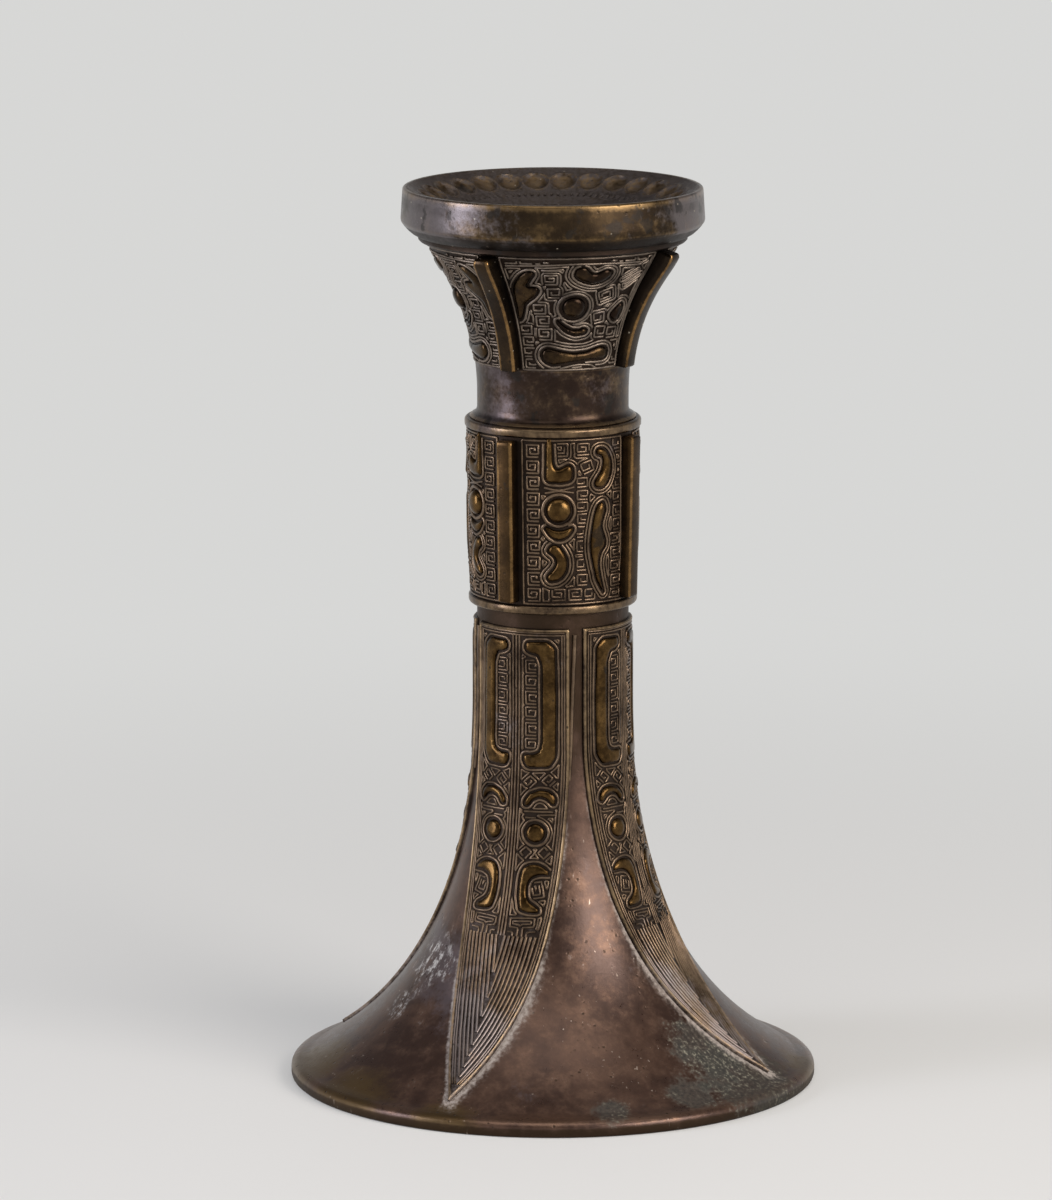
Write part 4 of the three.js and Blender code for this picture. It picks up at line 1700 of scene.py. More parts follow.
@dataclass
class HangingBlades:
    """Four blades of ornament that hang from the waist towards the lip."""

    layout: Layout
    threads: ThreadTree
    blade: Blade = field(default_factory=Blade)
    top_lines: tuple[float, float] = (128.6, 129.3)
    border_top: float = 128.3
    border_arc: float = 1.0
    rail_arc: float = 0.95
    tip_clear: float = 2.0
    feather_top: float = 45.8
    feather_pitch: float = 1.22
    feather_thick: float = 1.4
    feather_reach: float = 16.0
    gap_low: float = 88.0
    gap_thick: float = 2.3
    gap_aways: tuple[float, float] = (-0.1, 1.5)
    film_height: float = 60.0
    film_most: float = 0.45
    insets: tuple[float, ...] = (1.5, 2.2)
    boss_sink: float = 0.15
    plate_sink: float = 0.5
    radius: float = 0.3
    lift: float = 0.08
    wobble: float = 0.22
    wall: Wall = field(init=False)

    def __post_init__(self) -> None:
        """Takes the trumpet's wall."""
        self.wall = self.layout.trumpet_wall()

    def plate(self) -> tuple[Array, Array, Array]:
        """Draws the blade's raised field with its border ridge.

        Returns:
            Flat places, lifts and wear, as rows by points across.
        """
        blade, wall = self.blade, self.wall
        heights = np.concatenate((
            np.linspace(blade.tip + 0.2, 40.0, 46),
            np.linspace(41.5, blade.top - 2.0, 58),
            blade.top - np.array((1.5, 1.15, 0.9, 0.55, 0.2, 0.0)),
        ))
        steps = np.array((0.0, 0.1, 0.3, 0.55, 0.8, 1.0, 1.15, 1.4))
        rows, lifts, wears = [], [], []
        for z in heights:
            half = max(float(blade.half(np.array(z)) * wall.radius(z)), 0.3)
            edge = steps * min(1.0, half / 1.6)
            inset = np.concatenate((edge, np.linspace(edge[-1], half, 6)[1:]))
            arc = np.concatenate((half - inset, -(half - inset[::-1][1:])))
            away = np.minimum(np.concatenate((inset, inset[::-1][1:])), blade.top - z)
            lift = self.profile(away)
            ridge = 0.25 + 0.75 * lift / blade.ridge_rise
            rows.append(wall.flat(np.column_stack((arc, np.full(len(arc), z)))))
            lifts.append(lift)
            wears.append(np.where(away < blade.ridge_width, ridge, 0.12))
        return np.array(rows), np.array(lifts), np.array(wears)

    def profile(self, away: Array) -> Array:
        """Gives how far the blade stands out.

        Args:
            away: Distance from its border.

        Returns:
            The lift at each distance.
        """
        blade = self.blade
        share = (away / blade.ridge_width).clip(0.0, 1.0)
        ridge = blade.ridge_rise * np.sqrt(1.0 - (2 * share - 1.0) ** 2 * 0.999)
        return np.where(share < 0.5, ridge, np.maximum(ridge, blade.field_rise))

    def bent(self, places: Array, lift: Array | float, azimuth: float) -> Array:
        """Bends places onto the wall, round the leaning middle line of a blade.

        Args:
            places: Places in the drawing.
            lift: How far each stands off the wall.
            azimuth: Direction of the blade's flange.

        Returns:
            Points in the vase's frame.
        """
        centre = self.blade.centre(self.wall.height(places[:, 1]))
        return self.wall.bend(places, lift, azimuth + centre)

    def build(self) -> None:
        """Builds and dresses the blades."""
        self.build_plates()
        self.build_ornament()

    def build_plates(self) -> None:
        """Builds the raised fields with their border ridges."""
        flat, lifts, wears = self.plate()
        rows, across = flat.shape[:2]
        wear = np.concatenate((wears, np.zeros((rows, 2))), axis=1)
        ends = flat[:, [-1, 0]].reshape(-1, 2)
        plates = MeshBuilder()
        for azimuth in FLANGE_AZIMUTHS:
            skin = self.bent(flat.reshape(-1, 2), lifts.reshape(-1), azimuth)
            under = self.bent(ends, -self.plate_sink, azimuth)
            rings = (skin.reshape(rows, across, 3), under.reshape(rows, 2, 3))
            plates.grid(np.concatenate(rings, axis=1), wear, closed=False)
        level = self.wall.height(flat[:, 0, 1])
        film = ((self.film_height - level) / self.film_height).clip(0.0, self.film_most)
        plates.extra["crust_and_glints"] = np.tile(np.repeat(film, across + 2), len(FLANGE_AZIMUTHS))
        plates.cast("blade_plates", PLATE_FINISH, "bronze_relief")

    def build_ornament(self) -> None:
        """Builds the bosses and threads on the fields."""
        panel = Panel(self.wall, BLADE_BOSSES, self.border(), False, BLADE_LINES, BLADE_SPIRALS)
        panel.draw()
        base = self.blade.field_rise
        both = [(thread, base) for thread in panel.threads + self.long_lines()]
        middle = (Thread(self.rail(0.0)), base)
        gap = (Thread(self.gap_line(), False, self.gap_thick), 0.0)
        shells = [boss_shell(self.wall, *drawn) for drawn in zip(panel.outlines, BLADE_BOSSES)]
        bosses, lines = MeshBuilder(), []
        for azimuth in FLANGE_AZIMUTHS:
            for side in SIDES:
                for places, lift, faces, wear in shells:
                    lift = lift + base - self.boss_sink
                    bosses.add(self.bent(places * (side, 1.0), lift, azimuth), faces, wear)
                for thread, ground in both + ([middle, gap] if side > 0 else []):
                    path = self.bent(slimmed(thread) * (side, 1.0), ground + self.lift, azimuth)
                    lines.append(Thread(path, thread.closed, thread.thick))
        bosses.cast("blade_bosses", BOSS_FINISH, "bronze_relief")
        self.threads.sweep("blade_threads", lines, self.radius, self.wobble, THREAD_FINISH)

    def rail(self, arc: float) -> Array:
        """Draws a thread beside a blade's middle line."""
        heights = np.linspace(self.feather_top, self.top_lines[0], 80)
        return self.wall.flat(np.column_stack((np.full(80, arc), heights)))

    def gap_line(self) -> Array:
        """Draws the thread in the gap between two blades, which runs down into the border."""
        heights = np.linspace(self.gap_low, self.top_lines[0], 60)
        border = self.blade.half(heights) * self.wall.radius(heights)
        return self.wall.flat(np.column_stack((border + np.linspace(*self.gap_aways, 60), heights)))

    def border(self) -> Points:
        """Gives the outline of the ornament in one half of a blade."""
        heights = np.linspace(self.feather_top, self.border_top, 60)
        arc = self.blade.half(heights) * self.wall.radius(heights) - self.insets[-1]
        left = ((self.border_arc, self.border_top), (self.border_arc, self.feather_top))
        return (*zip(arc.tolist(), heights.tolist()), *left)

    def long_lines(self) -> list[Thread]:
        """Gives the threads along the border, down the middle and towards the tip."""
        blade, wall, low = self.blade, self.wall, self.blade.tip + self.tip_clear
        lines = [blade.side_line(wall, inset, low, self.top_lines[0]) for inset in self.insets]
        lines.append(self.rail(self.rail_arc))
        for height in self.top_lines:
            reach = float(blade.half(np.array(height)) * wall.radius(height)) - self.insets[0]
            lines.append(wall.flat([(arc, height) for arc in np.linspace(0.0, reach, 14)]))
        threads = [Thread(line) for line in lines]
        inset = self.insets[-1]
        while inset < self.feather_reach:
            inset += self.feather_pitch
            line = blade.side_line(wall, inset, low, self.feather_top)
            if len(line) > 3:
                threads.append(Thread(line, False, self.feather_thick))
        return threads


def slimmed(thread: Thread) -> Array:
    """Leaves a thread only the points that its bends need.

    Args:
        thread: The thread in the drawing.

    Returns:
        Fewer places, close enough to follow the wall.
    """
    line = thread.line
    kept = thinned(np.vstack((line, line[:1])) if thread.closed else line, 0.035)
    made = [kept[0]]
    for a, b in zip(kept, kept[1:]):
        parts = max(1, ceil(float(np.hypot(*(b - a))) / 1.5))
        made.extend(a + (b - a) * k / parts for k in range(1, parts + 1))
    if thread.closed:
        made.pop()
    return np.array(made)


WAIST_BOSSES = (
    Boss((
        (10.7, 184.0), (12.3, 184.0), (12.4, 177.2), (12.9, 175.6), (13.7, 175.1), (15.1, 175.6),
        (16.5, 176.5), (17.5, 176.1), (17.9, 175.0), (17.8, 172.9), (17.1, 171.8), (14.7, 171.4),
        (11.2, 171.6), (10.4, 172.2), (10.5, 177.2),
    )),
    Boss(((13.9, 163.8),), Kind.ROUND, (3.45,), rise=1.75, rounding=2.8, rings=(1.0,), thick=1.7),
    Boss(
        ((10.6, 158.8), (12.3, 157.4), (14.0, 156.9), (15.7, 157.4), (17.3, 158.6)),
        Kind.SPINE,
        (0.5, 1.1, 1.35, 1.1, 0.5),
        thick=1.4,
    ),
    Boss((
        (11.0, 153.0), (11.7, 154.1), (13.1, 154.3), (14.1, 153.7), (15.2, 152.1), (16.0, 150.3),
        (16.1, 148.5), (15.8, 146.8), (14.7, 145.2), (13.3, 144.2), (11.6, 143.9), (10.6, 144.5),
        (10.6, 145.6), (11.6, 146.5), (12.8, 147.9), (13.2, 149.3), (12.7, 150.9), (11.5, 151.8),
        (10.8, 152.3),
    ), rings=(0.8, 1.7)),
    Boss((
        (24.7, 179.7), (25.1, 180.4), (26.1, 180.6), (27.4, 180.3), (28.4, 179.2), (29.3, 177.7),
        (29.7, 175.9), (29.6, 173.8), (28.8, 171.7), (27.7, 170.1), (26.1, 169.5), (24.7, 169.8),
        (24.1, 170.7), (24.5, 171.8), (25.7, 173.1), (26.5, 174.4), (27.1, 176.1), (27.0, 177.6),
        (26.3, 178.7), (25.1, 178.8),
    ), rings=(0.8, 1.7)),
    Boss((
        (26.8, 165.7), (27.4, 164.4), (27.5, 163.0), (26.6, 161.0), (26.1, 159.3), (26.2, 157.8),
        (27.0, 156.0), (27.5, 154.3), (27.1, 152.9), (25.9, 151.8), (25.3, 150.1), (25.1, 148.0),
        (25.5, 145.5), (26.0, 142.9), (26.9, 139.8), (25.8, 141.5), (24.4, 144.1), (24.0, 146.3),
        (23.5, 148.5), (22.9, 151.4), (22.8, 154.2), (23.1, 157.0), (23.6, 159.8), (24.2, 162.6),
        (25.0, 164.7),
    ), rings=(0.8, 1.7)),
)
WAIST_LINES = (
    ((10.0, 170.2), (13.9, 169.4), (18.2, 170.2)),
    ((10.2, 168.6), (13.9, 169.2), (18.0, 168.6)),
)
WAIST_SPIRALS = (
    *column(6.9, tuple(140.2 + 4.45 * k for k in range(10)), 3.3, 3.4),
    Spiral(20.9, 180.6, 3.4, 3.2),
    Spiral(22.0, 175.6, 3.2, 3.0, 20.0),
    *column(20.5, (171.4, 167.9, 164.6, 161.3), 2.9, 2.5),
    *column(20.2, (157.6, 153.6, 148.4, 144.2), 2.8, 2.9),
    *column(31.9, (181.4, 177.6, 173.9, 170.2, 166.4, 162.6, 158.8), 3.0, 2.9),
    *column(31.2, (154.9, 151.0, 147.1, 143.2), 3.6, 3.0),
    Spiral(13.6, 140.2, 3.5, 3.0),
    Spiral(18.2, 140.2, 3.5, 3.0, 0.0, True),
    Spiral(22.4, 140.0, 3.0, 2.8),
    Spiral(15.0, 180.6, 3.0, 3.6),
)


@dataclass
class ReliefPanels:
    """Bosses and threads of two masks, each half a mirror image of the other.

    Attributes:
        name: First word of the pieces' names.
        panel: The drawing of the half to the right of a nose.
        threads: The tree that sweeps the threads.
        finish: Finish of the bosses.
        thread_finish: Finish of the threads.
        radius: Radius of the threads.
        lift: How far their middle stands off the ground.
        wobble: How far they stray, as hand carved lines do.
    """

    name: str
    panel: Panel
    threads: ThreadTree
    finish: BronzeFinish
    thread_finish: BronzeFinish
    radius: float = 0.34
    lift: float = 0.13
    wobble: float = 0.22

    def build(self) -> None:
        """Builds and dresses the masks."""
        panel, wall = self.panel, self.panel.wall
        panel.draw()
        bosses, lines = MeshBuilder(), []
        for boss, outline in zip(panel.bosses, panel.outlines):
            places, lift, faces, wear = boss_shell(wall, outline, boss)
            for azimuth in NOSE_AZIMUTHS:
                for side in SIDES:
                    bosses.add(wall.bend(places * (side, 1.0), lift, azimuth), faces, wear)
        for thread in panel.threads:
            slim = slimmed(thread)
            for azimuth in NOSE_AZIMUTHS:
                for side in SIDES:
                    bent = wall.bend(slim * (side, 1.0), self.lift, azimuth)
                    lines.append(Thread(bent, thread.closed, thread.thick))
        bosses.cast(self.name + "_bosses", self.finish, "bronze_relief")
        name = self.name + "_threads"
        self.threads.sweep(name, lines, self.radius, self.wobble, self.thread_finish)


@dataclass
class WaistBand:
    """The band round the waist, with plain rims above and below the masks."""

    layout: Layout
    threads: ThreadTree
    rim_height: float = 2.3
    rounding: float = 0.9
    socket_radius: float = 22.4
    panel_low: float = 137.6
    panel_high: float = 183.2
    panel_left: float = 3.9
    panel_right: float = 33.6
    segments: int = 176

    def section(self) -> Array:
        """Draws the band's closed section.

        Returns:
            Radius, height and wear of its points.
        """
        lay = self.layout
        low, high, bore = lay.band_floor, lay.band_top, lay.bore_radius
        small, large = lay.band_bottom_radius, lay.band_top_radius
        depth, rim, soft = lay.ground_depth, self.rim_height, self.rounding

        def radius(z: float) -> float:
            """Gives the rims' radius at a height."""
            return small + (large - small) * (z - low) / (high - low)

        turns = [k / 6 * QUARTER for k in range(1, 6)]
        end = [
            (0.0, soft, 0.5),
            *((soft * (1 - cos(t)), soft * (1 - sin(t)), 0.9) for t in turns),
            (soft, 0.0, 0.85),
            (rim - 0.3, 0.0, 0.85),
            (rim - 0.06, 0.12, 0.9),
            (rim + 0.1, 0.4, 0.4),
            (rim + 0.35, depth, 0.0),
        ]
        ground = np.linspace(low + rim + 1.0, high - rim - 1.0, 24)
        points = [(bore, low, 0.1)]
        points += [(radius(low + up) - drop, low + up, worn) for up, drop, worn in end]
        points += [(radius(z) - depth, z, 0.08) for z in ground]
        points += [(radius(high - up) - drop, high - up, worn) for up, drop, worn in end[::-1]]
        return np.array((*points, (self.socket_radius, high, 0.3), (bore, high, 0.1)))

    def build(self) -> None:
        """Builds and dresses the band with its masks."""
        section = self.section()
        builder = MeshBuilder()
        builder.grid(turned(section, self.segments), section[:, 2], closed=True)
        builder.cast("waist_band_body", SECTION_FINISH, "bronze_relief", "waist_band")
        low, high, left, right = self.panel_low, self.panel_high, self.panel_left, self.panel_right
        border = ((left, low), (right, low), (right, high), (left, high))
        wall = self.layout.band_wall()
        panel = Panel(wall, WAIST_BOSSES, border, True, WAIST_LINES, WAIST_SPIRALS)
        ReliefPanels("waist", panel, self.threads, BOSS_FINISH, THREAD_FINISH).build()


FOOT_BOSSES = (
    Boss((
        (22.9, 230.2), (23.9, 231.6), (25.6, 232.2), (27.0, 231.9), (27.3, 230.7), (28.2, 230.0),
        (29.6, 230.1), (31.2, 230.9), (32.8, 231.2), (33.8, 230.7), (33.5, 229.8), (31.9, 228.5),
        (29.3, 227.4), (26.9, 227.1), (24.9, 227.7), (23.4, 228.5), (22.9, 229.5),
    ), rings=(0.8, 1.7)),
    Boss((
        (11.4, 231.2), (12.1, 230.5), (9.9, 228.2), (8.3, 226.3), (11.3, 226.4), (11.8, 225.6),
        (10.6, 223.9), (8.1, 222.2), (6.7, 221.2), (5.9, 218.9), (5.0, 217.0), (4.0, 216.4),
        (3.8, 217.5), (3.9, 220.1), (3.9, 222.8), (4.2, 225.4), (5.2, 227.3), (7.4, 229.6),
        (9.4, 230.8),
    )),
    Boss(((19.8, 220.3),), Kind.ROUND, (3.2,), rise=1.6, rounding=2.6, rings=(1.3,), thick=1.4),
    Boss((
        (14.2, 216.1), (15.9, 213.4), (18.4, 212.2), (21.6, 212.7), (22.2, 213.8), (21.1, 214.3),
        (19.9, 213.7), (17.7, 213.8), (15.8, 215.2), (14.5, 217.0),
    )),
    Boss((
        (30.5, 215.9), (29.9, 217.3), (30.9, 218.6), (32.8, 219.9), (34.7, 221.1), (34.9, 219.6),
        (33.6, 217.4), (32.0, 215.7),
    )),
    Boss((
        (8.7, 206.9), (9.3, 208.0), (10.6, 208.7), (11.9, 208.3), (14.3, 207.6), (17.3, 207.1),
        (21.0, 207.3), (23.9, 208.2), (26.0, 208.7), (27.6, 208.1), (27.7, 206.7), (26.8, 205.2),
        (24.1, 205.0), (21.7, 205.2), (19.4, 204.9), (16.6, 204.6), (14.0, 204.2), (11.4, 203.8),
        (9.7, 204.5), (8.8, 205.6),
    ), rings=(0.8, 1.7)),
)
FOOT_LINES = (
    ((36.8, 226.2), (39.4, 227.4), (43.4, 229.0)),
    ((36.4, 227.9), (39.2, 228.9), (42.6, 230.2)),
    ((4.6, 232.6), (14.0, 232.9), (24.0, 233.2), (34.0, 233.0), (44.0, 232.6)),
    ((13.4, 202.8), (17.6, 203.7), (21.5, 203.6), (23.4, 202.8)),
)
FOOT_SPIRALS = (
    *(Spiral(6.5 + 4.3 * k, 234.1, 3.4, 1.6, 0.0, bool(k % 2)) for k in range(10)),
    Spiral(16.0, 228.6, 3.4, 3.1),
    Spiral(15.4, 224.6, 3.2, 3.0, 0.0, True),
    Spiral(10.4, 219.9, 3.2, 2.8),
    Spiral(10.5, 216.4, 3.4, 3.1, 0.0, True),
    Spiral(10.6, 212.6, 3.4, 3.2),
    Spiral(26.3, 217.0, 3.0, 3.2, 10.0),
    Spiral(25.8, 212.9, 3.0, 3.2, 0.0, True),
    Spiral(29.6, 212.4, 3.0, 3.0),
    Spiral(30.0, 223.6, 4.2, 3.6, 20.0),
    *column(5.6, (213.8, 210.6, 207.4, 204.2), 2.8, 2.5),
    *column(30.0, (208.6, 204.9), 3.0, 2.9),
)


@dataclass
class Foot:
    """The collar and the flaring foot with its masks."""

    layout: Layout
    threads: ThreadTree
    end: float = 177.3
    end_wear: float = 184.0
    inside_end: float = 186.0
    shoulder_radius: float = 37.0
    cove_radius: float = 36.6
    register_radius: float = 34.0
    register_height: float = 2.4
    wall: float = 4.25
    panel_margin: float = 3.3
    segments: int = 176

    def section(self) -> Array:
        """Draws the closed section of collar and foot.

        Returns:
            Radius, height and wear of its points.
        """
        lay = self.layout
        wall = lay.foot_wall()
        collar, shoulder = lay.collar_radius, lay.shoulder_top
        floor, top = lay.relief_floor, lay.relief_top
        # The fillet's outer edge has wear above 1: worn metal, with a painted highlight line along
        # that edge.
        fillet = (
            (0.0, 0.1, 0.1), (2.0, 0.1, 0.6), (2.1, 0.35, 1.2), (1.7, 0.75, 1.2), (0.9, 1.1, 0.5),
            (0.35, 1.7, 0.3),
        )
        points = [(lay.bore_radius, self.end, 0.1)]
        points += [(collar, self.end, 0.1), (collar, self.end_wear, 0.1)]
        points += [(collar + out, lay.band_top + up, worn) for out, up, worn in fillet]
        collar_part = np.linspace(lay.band_top + 2.6, floor - 0.6, 14)
        points += [(wall.radius(z), z, 0.45) for z in collar_part]
        points.append((wall.radius(floor) + 0.05, floor - 0.2, 0.7))
        points += [(wall.radius(z), z, 0.06) for z in np.linspace(floor + 0.3, top - 0.4, 40)]
        points += [(lay.neck_radius, top, 0.0), (self.cove_radius, top + 0.1, 0.1)]
        points += [(self.shoulder_radius, top + 0.5, 0.2), (self.shoulder_radius, shoulder, 0.0)]
        points.append((self.register_radius, shoulder, 0.1))
        points.append((self.register_radius, shoulder + self.register_height, 0.1))
        for z in np.linspace(shoulder + 1.4, self.inside_end, 24):
            points.append((max(lay.bore_radius, wall.radius(min(z, top)) - self.wall), z, 0.1))
        return np.array(points)

    def build(self) -> None:
        """Builds and dresses the foot with its masks."""
        section = self.section()
        builder = MeshBuilder()
        builder.grid(turned(section, self.segments), section[:, 2], closed=True)
        builder.cast("foot_body", SECTION_FINISH, "bronze_relief", "foot_flare")
        wall = self.layout.foot_wall()
        heights = np.linspace(self.layout.relief_floor + 0.4, self.layout.relief_top - 0.5, 30)
        right = QUARTER * wall.radius(heights) - self.panel_margin
        left = ((self.panel_margin, z) for z in heights.tolist())
        border = (*left, *zip(right[::-1].tolist(), heights[::-1].tolist()))
        panel = Panel(wall, FOOT_BOSSES, border, True, FOOT_LINES, FOOT_SPIRALS)
        ReliefPanels("foot", panel, self.threads, DARK_BOSS_FINISH, FOOT_THREAD_FINISH).build()


@dataclass
class FootRing:
    """The thick ring at the foot's end, with a dimpled dish inside."""

    layout: Layout
    radius: float = 41.8
    draft: float = 0.5
    rounding: float = 0.7
    chamfer_width: float = 3.9
    chamfer_height: float = 3.8
    chamfer_bulge: float = 0.21
    bore_radius: float = 24.5
    register_radius: float = 34.4
    register_height: float = 2.6
    dish_angle: float = radians(28.6)
    top_flat: float = 1.6
    dimple_count: int = 28
    dimple_circle: float = 34.1
    dimple_width: float = 7.3
    dimple_depth: float = 1.0
    dimple_lip: float = 0.2
    dot_count: int = 98
    dot_circle: float = 28.6
    dot_depth: float = 0.35
    dish_depth: float = 10.5
    segments: int = 784

    def section(self) -> Array:
        """Draws the ring's closed section.

        Returns:
            Radius, height and wear of its points.
        """
        top, low = self.layout.ring_top, self.layout.shoulder_top
        outer, soft = self.radius, self.rounding
        wide, tall = self.chamfer_width, self.chamfer_height
        points = [(self.register_radius, low + 0.05, 0.0), (outer - wide - 0.6, low, 0.0)]
        points.append((outer - wide, low + 0.12, 0.1))
        for share in (0.25, 0.5, 0.75):
            bulge = self.chamfer_bulge * sin(share * pi)
            r = outer - wide * (1 - share) + bulge
            points.append((r, low + tall * share - bulge, 0.2 * share))
        points.append((outer - 0.12, low + tall - 0.1, 0.8))
        start = low + tall + 0.5
        for share in (0.0, 0.2, 0.4, 0.6, 0.8):
            z = start + share * (top - soft - start)
            points.append((outer - self.draft * share, z, max(0.3, 0.6 - 0.5 * share)))
        edge = outer - self.draft
        for k in range(6):
            turn = k / 5 * QUARTER
            points.append((edge - soft * (1 - cos(turn)), top - soft * (1 - sin(turn)), 1.0))
        start = edge - self.top_flat
        points.append((start, top, 0.9))
        for r in np.linspace(start - 0.3, self.bore_radius, 44).tolist():
            points.append((r, top - 0.1 - (start - r) * tan(self.dish_angle), 0.45))
        points.append((self.bore_radius, (points[-1][1] + low) / 2, 0.1))
        points.append((self.bore_radius, low + self.register_height, 0.1))
        points.append((self.register_radius, low + self.register_height, 0.1))
        return np.array(points)

    def dimpled(
        self, rings: Array, wear: Array
    ) -> tuple[Array, Array, Array]:
        """Presses the round dimples and the small dots into the dish.

        Args:
            rings: The ring's points.
            wear: Wear of the section's points.

        Returns:
            The pressed points, their wear and their share of crust.
        """
        spacing = 2 * pi / self.dimple_count
        radius = np.hypot(rings[..., 0], rings[..., 1])
        angle = np.arctan2(rings[..., 1], rings[..., 0])
        across = ((angle / spacing - np.round(angle / spacing)) * spacing) * self.dimple_circle
        slope = cos(self.dish_angle)
        away = np.hypot(across, (radius - self.dimple_circle) / slope) / (self.dimple_width / 2)
        level = self.layout.ring_top - self.dish_depth
        dish = (rings[..., 2] > level) & (radius < self.radius - 2.0)
        cup = np.where(dish, (1.0 - away**2).clip(0.0, 1.0), 0.0)
        lip = np.where(dish, np.exp(-(((away - 1.04) / 0.12) ** 2)) * self.dimple_lip, 0.0)
        row = np.exp(-(((radius - self.dot_circle) / 0.4) ** 2))
        dots = np.cos(angle * self.dot_count).clip(0.0, 1.0) * row
        drop = self.dimple_depth * cup * (1.5 - 0.5 * cup) - lip
        drop += np.where(dish, dots * self.dot_depth, 0.0)
        pressed = rings.copy()
        pressed[..., 2] -= drop * slope
        shift = drop * sin(self.dish_angle) / np.maximum(radius, 1.0)
        pressed[..., 0] += rings[..., 0] * shift
        pressed[..., 1] += rings[..., 1] * shift
        # The lips get more wear and less crust: worn rims, with a painted highlight along them. The
        # dots get less wear and less crust, which makes them darker.
        worn = np.broadcast_to(wear, radius.shape) + cup.clip(0.0, 0.4) + lip * 3.0 - dots * 0.5
        crust = np.where(dish, 1.2 - cup.clip(0.0, 0.5) * 1.5 - dots - lip * 2.0, 0.0)
        return pressed, worn.clip(0.0, 1.0), crust.reshape(-1)

    def build(self) -> None:
        """Builds and dresses the ring."""
        section = self.section()
        rings, worn, crust = self.dimpled(turned(section, self.segments), section[:, 2])
        builder = MeshBuilder()
        builder.extra["crust_and_glints"] = crust
        builder.grid(rings, worn, closed=True)
        builder.cast("foot_ring_body", RING_FINISH, "bronze_ring", "foot_ring")


@dataclass
class Flanges:
    """Eight plain ribs, four on the waist and four on the foot."""

    layout: Layout
    width: float = 4.8
    edge: float = 0.55
    end_round: float = 0.5
    seat: float = 1.0
    band_height: float = 45.0
    band_rise: float = 3.2
    foot_rise: float = 3.2
    foot_flare: float = 1.6

    def rib(
        self, wall: Wall, low: float, high: float, rises: tuple[float, float], azimuth: float
    ) -> Array:
        """Draws one rib.

        Args:
            wall: The wall that carries it.
            low: Height of its lower end.
            high: Height of its upper end.
            rises: How far it stands out at its lower and upper end.
            azimuth: Its direction.

        Returns:
            Its rings of points, with wear as the last column.
        """
        middle = np.linspace(low + 1.2, high - 1.2, 30)
        heights = (low, low + 0.15, low + 0.5, *middle, high - 0.5, high - 0.15, high)
        rings = []
        for z in heights:
            share = (z - low) / (high - low)
            rise = rises[0] + (rises[1] - rises[0]) * share**2
            end = min(z - low, high - z)
            shrink = self.end_round * max(0.0, 1.0 - end / self.end_round) ** 2
            half, top, soft = self.width / 2 - shrink * 0.7, rise - shrink, self.edge
            section = [(-half, -self.seat, 0.0), (-half, 0.0, 0.1)]
            section += [(-half, top * 0.5, 0.2), (-half, top - soft, 0.5)]
            for turn in (QUARTER / 3, QUARTER * 2 / 3, QUARTER):
                over, down = soft * (1 - cos(turn)), soft * (1 - sin(turn))
                section.append((over - half, top - down, 1.0))
            section += [(-half * 0.6, top + 0.06, 0.35), (0.0, top + 0.1, 0.3)]
            section += [(-a, b, c) for a, b, c in section[-2::-1]]
            rows = np.array(section)
            radius = float(wall.radius(z))
            tilt = float(np.interp(z, wall.heights, wall.slope))
            size = hypot(1.0, tilt)
            out = radius + rows[:, 1] / size
            x = out * cos(azimuth) - rows[:, 0] * sin(azimuth)
            y = out * sin(azimuth) + rows[:, 0] * cos(azimuth)
            level = z - rows[:, 1] * tilt / size
            rings.append(np.column_stack((x, y, level, rows[:, 2])))
        return np.array(rings)

    def build(self) -> None:
        """Builds and dresses the ribs."""
        lay = self.layout
        middle = (lay.band_floor + lay.band_top) / 2
        low, high = middle - self.band_height / 2, middle + self.band_height / 2
        waist = (lay.band_wall(), low, high, (self.band_rise, self.band_rise))
        low, high = lay.relief_floor + 0.1, lay.relief_top - 0.3
        foot = (lay.foot_wall(), low, high, (self.foot_rise, self.foot_rise + self.foot_flare))
        groups = (("waist", waist, FLANGE_FINISH), ("foot", foot, DARK_FLANGE_FINISH))
        for name, sizes, finish in groups:
            builder = MeshBuilder()
            for azimuth in FLANGE_AZIMUTHS:
                rings = self.rib(*sizes, azimuth)
                builder.grid(rings[..., :3], rings[..., 3], closed=False)
            nodes = (f"{name}_flange_{k}" for k in (1, 2, 3, 4))
            builder.cast(name + "_flanges", finish, "bronze_flange", *nodes)


# Studio


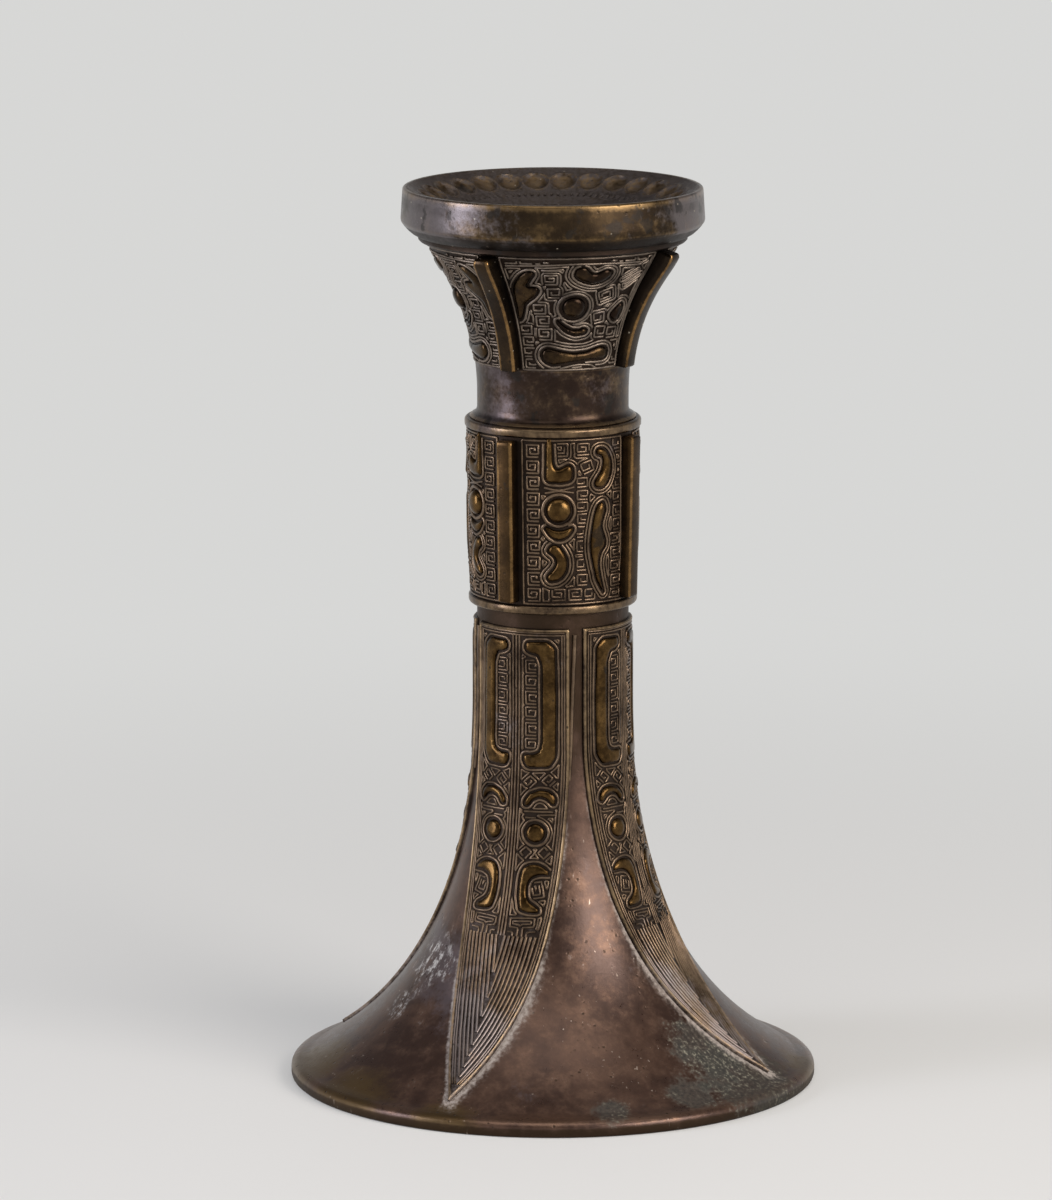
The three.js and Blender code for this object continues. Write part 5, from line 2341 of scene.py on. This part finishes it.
@dataclass
class Studio:
    """Floor, lamps and camera."""

    aim_height: float = 134.5
    distance: float = 2000.0
    pitch: float = 0.1888
    azimuth: float = radians(30.5)
    lens: float = 216.5
    shift: float = -0.0224
    floor_colour: Colour = (0.79, 0.78, 0.76)
    backdrop: Colour = (0.68, 0.68, 0.67)
    ceiling: Colour = (0.13, 0.13, 0.135)
    floor_reach: float = 0.9
    floor_size: float = 14.0

    @staticmethod
    def seen(paint: Palette) -> Signal:
        """Gives 1 for what is seen, mirrored or seen through, and 0 for light on a surface."""
        path = paint.node("ShaderNodeLightPath")
        kinds = ("Is Camera Ray", "Is Glossy Ray", "Is Transmission Ray")
        return sum((paint.out(path, kind) for kind in kinds), 0.0).least(1.0)

    def lamp(
        self,
        name: str,
        azimuth: float,
        height: float,
        away: float,
        sizes: tuple[float, float],
        power: float,
        tint: Colour = (1.0, 0.98, 0.95),
    ) -> None:
        """Adds a soft lamp that faces the vase.

        Args:
            name: Its name.
            azimuth: Its direction from the camera's, in degrees to the right.
            height: Its height in metres.
            away: Its distance from the axis in metres.
            sizes: Its width and height in metres.
            power: Its power in watts.
            tint: Its colour.
        """
        data = bpy.data.lights.new(name, "AREA")
        data.shape = "RECTANGLE"
        data.size, data.size_y = sizes
        data.energy = power
        data.color = tint
        made = placed(name, data)
        turn = self.azimuth + radians(azimuth)
        made.location = (away * sin(turn), -away * cos(turn), height)
        aim = Vector((0.0, 0.0, self.aim_height * MM))
        made.rotation_euler = (aim - made.location).to_track_quat("-Z", "Y").to_euler()

    def floor(self) -> None:
        """Lays the pale floor, which fades into the backdrop."""
        mesh = bpy.data.meshes.new("studio_floor")
        reach = self.floor_size
        corners = ((-reach, -reach), (reach, -reach), (reach, reach), (-reach, reach))
        mesh.from_pydata([(*corner, 0.0) for corner in corners], [], [(0, 1, 2, 3)])
        floor = placed("studio_floor", mesh)
        material = bpy.data.materials.new("pale_floor")
        material.use_nodes = True
        paint = Palette(material.node_tree)
        place = paint.out(paint.node("ShaderNodeTexCoord"), "Object")
        far = 1.0 - paint.near(place, (0.0, 0.0, 0.0), self.floor_reach)
        base = (*self.floor_colour, 1.0)
        lit = paint.node("ShaderNodeBsdfPrincipled", Base_Color=base, Roughness=0.8)
        glow = paint.node("ShaderNodeEmission", Color=(*self.backdrop, 1.0), Strength=1.0)
        share = self.seen(paint) * (far.between(0.05, 0.75) * 0.65 + 0.35)
        mixed = paint.node("ShaderNodeMixShader", Fac=share)
        paint.tree.links.new(lit.outputs[0], mixed.inputs[1])
        paint.tree.links.new(glow.outputs[0], mixed.inputs[2])
        paint.node("ShaderNodeOutputMaterial", Surface=paint.out(mixed))
        mesh.materials.append(material)

    def air(self) -> None:
        """Sets the plain backdrop under a dim ceiling."""
        world = bpy.data.worlds.new("studio_air")
        world.use_nodes = True
        air = Palette(world.node_tree)
        place = air.out(air.node("ShaderNodeTexCoord"), "Generated")
        up = air.out(air.node("ShaderNodeSeparateXYZ", Vector=place), "Z")
        colour = air.blend(self.backdrop, self.ceiling, up.between(0.1, 0.45))
        plain = air.node("ShaderNodeBackground", Color=colour, Strength=1.0)
        air.node("ShaderNodeOutputWorld", Surface=air.out(plain))
        bpy.context.scene.world = world

    def camera(self) -> None:
        """Sets up the camera of the photo."""
        data = bpy.data.cameras.new("photo_camera")
        data.lens = self.lens
        data.sensor_width = 36.0
        data.shift_x = self.shift
        data.clip_start = 0.05
        data.clip_end = 60.0
        camera = placed("photo_camera", data)
        far = self.distance * MM
        flat, high = far * cos(self.pitch), far * sin(self.pitch)
        aim = Vector((0.0, 0.0, self.aim_height * MM))
        way = Vector((flat * sin(self.azimuth), -flat * cos(self.azimuth), high))
        camera.location = aim + way
        camera.rotation_euler = (aim - camera.location).to_track_quat("-Z", "Y").to_euler()
        bpy.context.scene.camera = camera

    def build(self) -> None:
        """Builds the studio."""
        self.floor()
        self.air()
        self.lamp("warm_right", 49.0, 0.62, 1.15, (0.75, 0.68), 15.0, (1.0, 0.94, 0.89))
        self.lamp("cool_left", -72.0, 0.42, 1.15, (0.34, 0.8), 9.0, (0.86, 0.88, 1.0))
        self.lamp("soft_top", 0.0, 1.4, 0.5, (1.4, 0.9), 6.0)
        self.lamp("soft_back", 170.0, 1.4, 0.45, (0.5, 0.5), 0.7, (1.0, 0.98, 0.96))
        self.camera()
        bpy.context.scene.view_settings.view_transform = "Standard"
        log.info("studio ready")


def main() -> None:
    """Builds the vase piece by piece."""
    logging.basicConfig(level=logging.INFO, format="%(name)s: %(message)s")
    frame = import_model()
    Studio().build()
    layout = Layout()
    threads = ThreadTree()
    TrumpetFlare(layout).build()
    HangingBlades(layout, threads).build()
    WaistBand(layout, threads).build()
    Foot(layout, threads).build()
    FootRing(layout).build()
    Flanges(layout).build()
    BODY_FINISH.dress(frame["nodes"]["floor_plate"])


if __name__ == "__main__":
    main()
